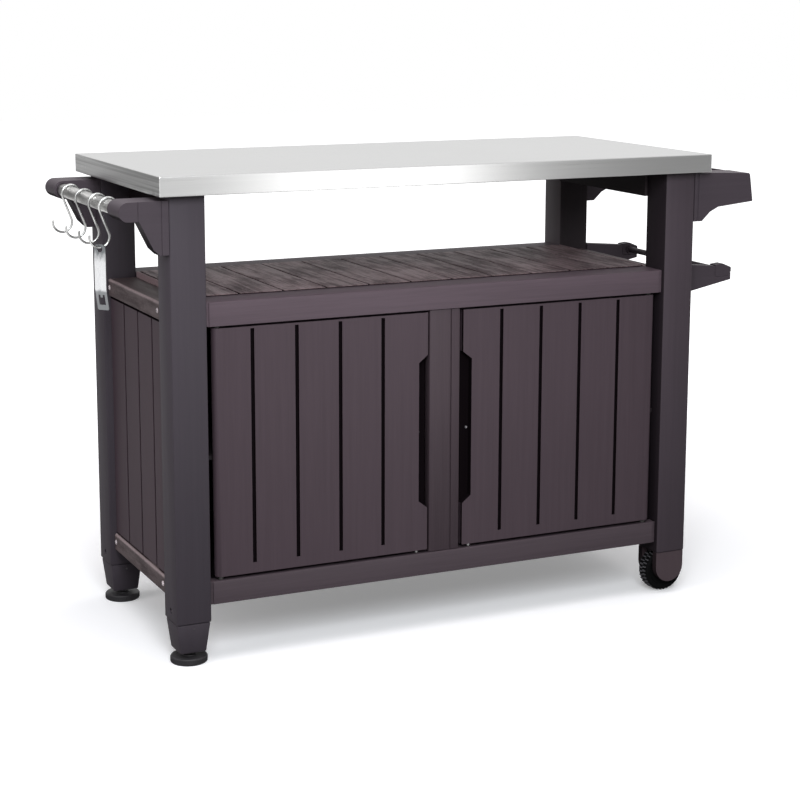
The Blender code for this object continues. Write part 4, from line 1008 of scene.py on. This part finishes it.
for end in ENDS:
    low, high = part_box(f"wheel_{end}")
    centre = centre_of(f"wheel_{end}")
    radius = (high.z - low.z) / 2
    wheel = turned(wheel_section(radius, (high.y - low.y) / 2), centre, "Y", steps=88)
    wheel.materials.append(tread_finish)
    rings = [wheel]
    for row, step in ((-1, 0.0), (1, math.pi / TREAD_RIBS)):
        upright = Matrix.Rotation(step, 4, "Y") @ Matrix.Rotation(math.pi / 2, 4, "X")
        place = Matrix.Translation(centre + Vector((0, row * TREAD_ROW, 0))) @ upright
        rings.append(rib_ring(TREAD_RIBS, radius - TREAD_RIB_SUNK, TREAD_RIB, rib_finish, place))
    piece = dress(f"wheel_{end}", joined(f"wheel_{end}", rings))
    print(piece.name, len(piece.data.polygons), "faces")

# %% Screw feet
KNOB_HEIGHT = 0.013
KNOB_TOP_ROUNDING = 0.0026
KNOB_BOTTOM_ROUNDING = 0.0020
STEM_RADIUS = 0.006
STEM_CHAMFER = 0.001
NECK = ((0.006, 0.0042), (0.006495, 0.001713), (0.0115, 0.0022), (0.0135, 0.0012), (0.0140, 0.0))
FOOT_RIBS = 60
FOOT_RIB = (0.0012, 0.0016, 0.0078)
FOOT_RIB_SUNK = 0.0006
FOOT_RIB_LEVEL = 0.48


def foot_section(top, grip):
    """From the stem's top down its neck and round the knob to the middle of its underside."""
    high_round, low_round = KNOB_TOP_ROUNDING, KNOB_BOTTOM_ROUNDING
    return (
        [(0.0, top), (STEM_RADIUS - STEM_CHAMFER, top), (STEM_RADIUS, top - STEM_CHAMFER)]
        + [(radius, KNOB_HEIGHT + above) for radius, above in NECK]
        + bent((grip - high_round, KNOB_HEIGHT - high_round), high_round, 90, 0, 6)
        + bent((grip - low_round, low_round), low_round, 0, -90, 5)
        + [(0.0, 0.0)]
    )


for end in ENDS:
    low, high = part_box(f"levelling_foot_{end}")
    centre = centre_of(f"levelling_foot_{end}")
    centre.z = 0.0
    grip = (high.x - low.x) / 2 - FOOT_RIB_SUNK
    foot = turned(foot_section(high.z, grip), centre, "Z")
    foot.materials.append(foot_finish)
    place = Matrix.Translation(centre + Vector((0, 0, KNOB_HEIGHT * FOOT_RIB_LEVEL)))
    grip_ribs = rib_ring(FOOT_RIBS, grip, FOOT_RIB, foot_finish, place)
    mesh = joined(f"levelling_foot_{end}", [foot, grip_ribs])
    piece = dress(f"levelling_foot_{end}", mesh)
    print(piece.name, len(piece.data.polygons), "faces")

# %% [markdown]
# ## The hanging bar and its hooks
# A steel tube runs between two brackets, and four wire hooks hang on it. Each hook is one wire bent into an S
# of two arcs and the straight line that touches both, so its path is worked out from two radii and the drop
# and lean between them.

# %% Bar
BAR_INSET = 0.0004
BAR_TIP = 0.0006
BAR_STEPS = 12
low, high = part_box("towel_bar")
bar_axis = centre_of("towel_bar")
start, length = low.y + BAR_INSET, high.y - low.y - 2 * BAR_INSET
bar_path = [(bar_axis.x, start + length * step / BAR_STEPS, bar_axis.z) for step in range(BAR_STEPS + 1)]
bar_start = path_mesh(bar_path, BAR_TIP, tip_steps=1)
bar_mesh = wires.run(bar_start, Radius=(high.x - low.x) / 2, Sides=72, Finish=bar_finish)
bar = dress("towel_bar", bar_mesh)
print(bar.name, len(bar.data.polygons), "faces")

# %% Hooks
HOOK_RADIUS = 0.0021
BAR_RADIUS = 0.0125
HOOK_GAP = 0.0003
UPPER_BEND = 0.017
LOWER_BEND = 0.0185
UPPER_CENTRE = Vector((0.0, -(UPPER_BEND - HOOK_RADIUS - BAR_RADIUS - HOOK_GAP)))
LOWER_CENTRE = Vector((-0.0175, -0.0555))
UPPER_TIP = math.radians(-70)
LOWER_TIP = math.radians(-196)
ARC_STEPS = 30


def arc(centre, radius, start, end):
    """Points on an arc, by its two angles."""
    turns = [start + (end - start) * step / ARC_STEPS for step in range(ARC_STEPS + 1)]
    return [centre + Vector((math.cos(turn), math.sin(turn))) * radius for turn in turns]


def hook_points():
    """The S about the bar's axis: over the bar, down the straight and round the lower bend."""
    across = LOWER_CENTRE - UPPER_CENTRE
    incline = math.atan2(across.y, across.x)
    crossing = math.acos((UPPER_BEND + LOWER_BEND) / across.length)
    leave = incline - crossing + 2 * math.pi
    meet = incline - crossing + math.pi
    over = arc(UPPER_CENTRE, UPPER_BEND, UPPER_TIP, leave)
    under = arc(LOWER_CENTRE, LOWER_BEND, meet, LOWER_TIP)
    return over + under


for number in range(1, 5):
    node = f"s_hook_{number}"
    y = centre_of(node).y
    points = [(bar_axis.x + point.x, y, bar_axis.z + point.y) for point in hook_points()]
    mesh = wires.run(path_mesh(points, HOOK_RADIUS), Radius=HOOK_RADIUS, Sides=20, Finish=wire_finish)
    hook = dress(node, mesh)
    corners = (hook.bound_box[0], hook.bound_box[6])
    off = max((Vector(mine) - cad).length for mine, cad in zip(corners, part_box(node)))
    print(node, f"is within {off * 1000:.2f} mm of the CAD box")

# %% [markdown]
# ## The bottle opener
# A strip of pressed steel with a round hole, a bent foot and a cut with a tooth. Its outline is the CAD
# node's, and the press leaves its edges slightly rounded.

# %% Opener
opener = rounded("bottle_opener", flat_finish, 0.0003)
print(opener.name, len(opener.data.polygons), "faces")

# %% [markdown]
# ## Screws
# Bolts hold the side rails to the legs, a sunk screw locks each left leg's socket, a small screw sits in each
# door's finger grip, and a rivet in each foot socket. They are all one rule with different sizes, set out as
# marked points.


# %% Set out screws
def screwed(name, places, directions, size, finish, dark, body="frame"):
    """Screws of one radius and height, each at its place and facing its own way, shown on a body."""
    mesh = bpy.data.meshes.new("marks")
    mesh.from_pydata(places, [], [])
    values = [value for direction in directions for value in direction]
    mesh.attributes.new("facing", "FLOAT_VECTOR", "POINT").data.foreach_set("vector", values)
    heads = screws.run(mesh, Radius=size[0], Height=size[1], Finish=finish, Dark=dark)
    return show(name, heads, body)


def first_met(node, start, direction):
    """The point where a line first meets a CAD node."""
    source = cad_nodes[node].data
    corners = [corner.co for corner in source.vertices]
    faces = BVHTree.FromPolygons(corners, [face.vertices[:] for face in source.polygons])
    return faces.ray_cast(Vector(start), Vector(direction))[0]


# %% Bolts in the side rails
BOLT_SIZE = (0.0050, 0.0024)
BOLT_FROM_FRONT = 0.036
BOLT_FROM_BACK = 0.009
OUTWARD = {"left": -1, "right": 1}
places, directions = [], []
for side, sign in OUTWARD.items():
    upper_low, upper_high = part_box(f"upper_rail_{side}")
    face = upper_low.x if sign < 0 else upper_high.x
    for y in (upper_low.y + BOLT_FROM_FRONT, upper_high.y - BOLT_FROM_BACK):
        for level in ("upper", "lower"):
            places.append((face, y, centre_of(f"{level}_rail_{side}").z))
            directions.append((sign, 0, 0))
bolts = screwed("rail_bolts", places, directions, BOLT_SIZE, cap_finish, rib_finish)
print(len(places), "bolts,", len(bolts.data.polygons), "faces")

# %% Lock screws in the legs
LOCK_SCREW_SIZE = (0.0050, 0.0008)
LOCK_SCREW_Z = 0.100
OUTSIDE = 1.0
places = []
for end in ENDS:
    centre = centre_of(f"leg_{end}_left")
    start = (centre.x - OUTSIDE, centre.y, LOCK_SCREW_Z)
    places.append(first_met(f"leg_{end}_left", start, (1, 0, 0)))
# painted shade and highlight: the black washer and head are the dark of the recess, the pale centre a spot of
# light in it
screwed("leg_lock_screws", places, [(-1, 0, 0)] * 2, LOCK_SCREW_SIZE, tread_finish, cap_finish)
print("lock screws at x", [round(place.x, 4) for place in places])

# %% Screws in the finger grips
GRIP_SCREW_SIZE = (0.0030, 0.0014)
GRIP_SCREW_X, GRIP_SCREW_Z = 0.0515, 0.390
for side, sign in OUTWARD.items():
    where = first_met(f"door_{side}", (middle_x + sign * GRIP_SCREW_X, -OUTSIDE, GRIP_SCREW_Z), (0, 1, 0))
    look = (GRIP_SCREW_SIZE, rib_finish, cap_finish)
    screwed(f"grip_screw_{side}", [where], [(0, -1, 0)], *look, body=f"door_{side}")
    print(f"grip screw {side} at y {where.y:.4f}")

# %% Rivets in the foot sockets
RIVET_SIZE = (0.0018, 0.0006)
RIVET_Z = 0.0697
places = []
for end in ENDS:
    start = (centre_of(f"foot_socket_{end}").x, -OUTSIDE, RIVET_Z)
    places.append(first_met(f"foot_socket_{end}", start, (0, 1, 0)))
screwed("socket_rivets", places, [(0, -1, 0)] * 2, RIVET_SIZE, dull_finish, foot_finish)
print("rivets at", [tuple(round(value, 4) for value in place) for place in places])

# %% [markdown]
# ## Studio
# The table stands on a white sweep in soft light. The floor is a pale surface that keeps the shadow near the
# table and is plain white farther off. For the camera, and in what metal reflects, the sky is plain white,
# while a soft sky and three wide lamps light the table at the level at which a colour looks as it is written.
# Bare metal shows only what it mirrors, so two grey cards that nothing but a reflection sees shade its edges.

# %% Kinds of rays
def ray_kinds(graph):
    """1 where a ray comes from the camera, from a reflection and through glass, one signal for each."""
    kinds = ("Camera", "Glossy", "Transmission")
    return [graph.node("ShaderNodeLightPath", output=f"Is {kind} Ray") for kind in kinds]


# %% Sheets
def staged(name, corners, finish):
    """A flat sheet that belongs to the studio and not to the table."""
    mesh = bpy.data.meshes.new(name)
    mesh.from_pydata(corners, [], [(0, 1, 2, 3)])
    mesh.materials.append(finish.material)
    obj = linked(name, mesh)
    return obj


# %% Floor
FLOOR_HALF = 14.0
FLOOR_GLOW = 0.24
FLOOR_NEAR, FLOOR_FAR = 0.6, 2.4
FLOOR_STRETCH = (0.8, 1.0, 0.0)
FLOOR_WHITE = (0.885, 0.885, 0.915, 1.0)
FLOOR_BOUNCE = (0.16, 0.16, 0.162, 1.0)
PURE_WHITE = (1.0, 1.0, 1.0, 1.0)


def studio_floor():
    """A pale floor that keeps the shadow near the table and glows white farther off."""
    corners = [(x * FLOOR_HALF, y * FLOOR_HALF, 0) for x, y in ((-1, -1), (1, -1), (1, 1), (-1, 1))]
    finish = Finish("white_sweep", Roughness=0.9, Specular_IOR_Level=0.0)
    seen, mirrored, through = ray_kinds(finish)
    stretched = finish.place(FLOOR_STRETCH)
    away = finish.node("ShaderNodeVectorMath", {0: stretched}, output="Value", operation="LENGTH")
    far = finish.between(away, FLOOR_NEAR, FLOOR_FAR)
    finish.output(
        Base_Color=finish.blend(seen, FLOOR_BOUNCE, FLOOR_WHITE),
        Emission_Color=finish.blend(far, (FLOOR_GLOW, FLOOR_GLOW, FLOOR_GLOW, 1.0), PURE_WHITE),
        Emission_Strength=seen + mirrored + through,
    )
    return staged("studio_floor", corners, finish)


floor = studio_floor()
print(floor.name, "reaches", FLOOR_HALF, "m each way")

# %% Sky
SKY_LEVEL = 0.36


def soft_sky():
    """White for the camera and in reflections, and softer as a light."""
    world = bpy.data.worlds.new("studio_sky")
    bpy.context.scene.world = world
    world.use_nodes = True
    sky = Graph(world.node_tree)
    seen, mirrored, through = ray_kinds(sky)
    level = {"Value": seen + mirrored + through, "To Min": SKY_LEVEL, "To Max": 1.0}
    background = world.node_tree.nodes["Background"]
    sky.feed(background.inputs["Strength"], sky.node("ShaderNodeMapRange", level))
    sky.feed(background.inputs["Color"], PURE_WHITE)


soft_sky()
print("sky level", SKY_LEVEL)

# %% Lamps
# place, target, size, watts and colour
LAMPS = {
    "key_softbox": ((-1.1, -2.8, 2.2), (0.1, 0.0, 0.5), (1.4, 1.4), 80.0, (0.95, 0.985, 1.0)),
    "left_softbox": ((-3.2, -0.4, 1.6), (-0.4, 0.0, 0.5), (1.8, 1.8), 26.0, (1.0, 0.97, 0.96)),
    "overhead_softbox": ((0.1, -0.3, 3.2), (0.0, 0.0, 0.4), (2.6, 2.2), 62.0, (1.0, 0.98, 0.965)),
}


def softbox(name, place, target, size, power, colour):
    """A wide lamp that looks at a target. Only the key is seen in reflections."""
    data = bpy.data.lights.new(name, "AREA")
    data.color = colour
    data.shape = "RECTANGLE"
    data.size, data.size_y = size
    data.energy = power
    lamp = linked(name, data)
    lamp.location = place
    lamp.rotation_euler = (Vector(target) - Vector(place)).to_track_quat("-Z", "Y").to_euler()
    lamp.visible_camera = False
    lamp.visible_glossy = name == "key_softbox"


for name, settings in LAMPS.items():
    softbox(name, *settings)
print(len(LAMPS), "lamps,", sum(power for _, _, _, power, _ in LAMPS.values()), "W")

# %% Cards for the metal
CARD_LEVEL = 2.4
# a place along the card and how bright it is there
FRONT_GREYS = ((0.20, 0.34), (0.33, 0.98), (0.45, 1.00), (0.57, 0.26), (0.72, 0.15))
LEFT_GREYS = ((0.05, 0.05), (0.50, 0.19))
# the axis a card runs along, its ends, how far out it stands, its lower and upper edge, and its greys
CARDS = {
    "front_card": ("X", (-0.70, 1.30), -0.80, (0.20, 1.25), FRONT_GREYS),
    "left_card": ("Y", (0.15, 2.40), -1.05, (0.10, 1.30), LEFT_GREYS),
}
UNSEEN_BY = ("camera", "diffuse", "shadow", "transmission")


def card(name, axis, ends, offset, levels, greys):
    """An upright sheet, lighter and darker along its length, that only reflections show."""
    (near, far), (low, high) = ends, levels
    outline = ((near, low), (far, low), (far, high), (near, high))
    corners = [(along, offset, z) if axis == "X" else (offset, along, z) for along, z in outline]
    finish = Finish(name, Specular_IOR_Level=0.0, Roughness=1.0, Emission_Strength=CARD_LEVEL)
    share = (finish.coordinate(axis) - near) * (1 / (far - near))
    finish.output(Base_Color=(0.0, 0.0, 0.0, 1.0), Emission_Color=finish.ramp(share, greys))
    sheet = staged(name, corners, finish)
    for kind in UNSEEN_BY:
        setattr(sheet, f"visible_{kind}", False)


for name, settings in CARDS.items():
    card(name, *settings)
print(len(CARDS), "cards")

# %% Picture settings
bpy.context.scene.view_settings.view_transform = "Standard"
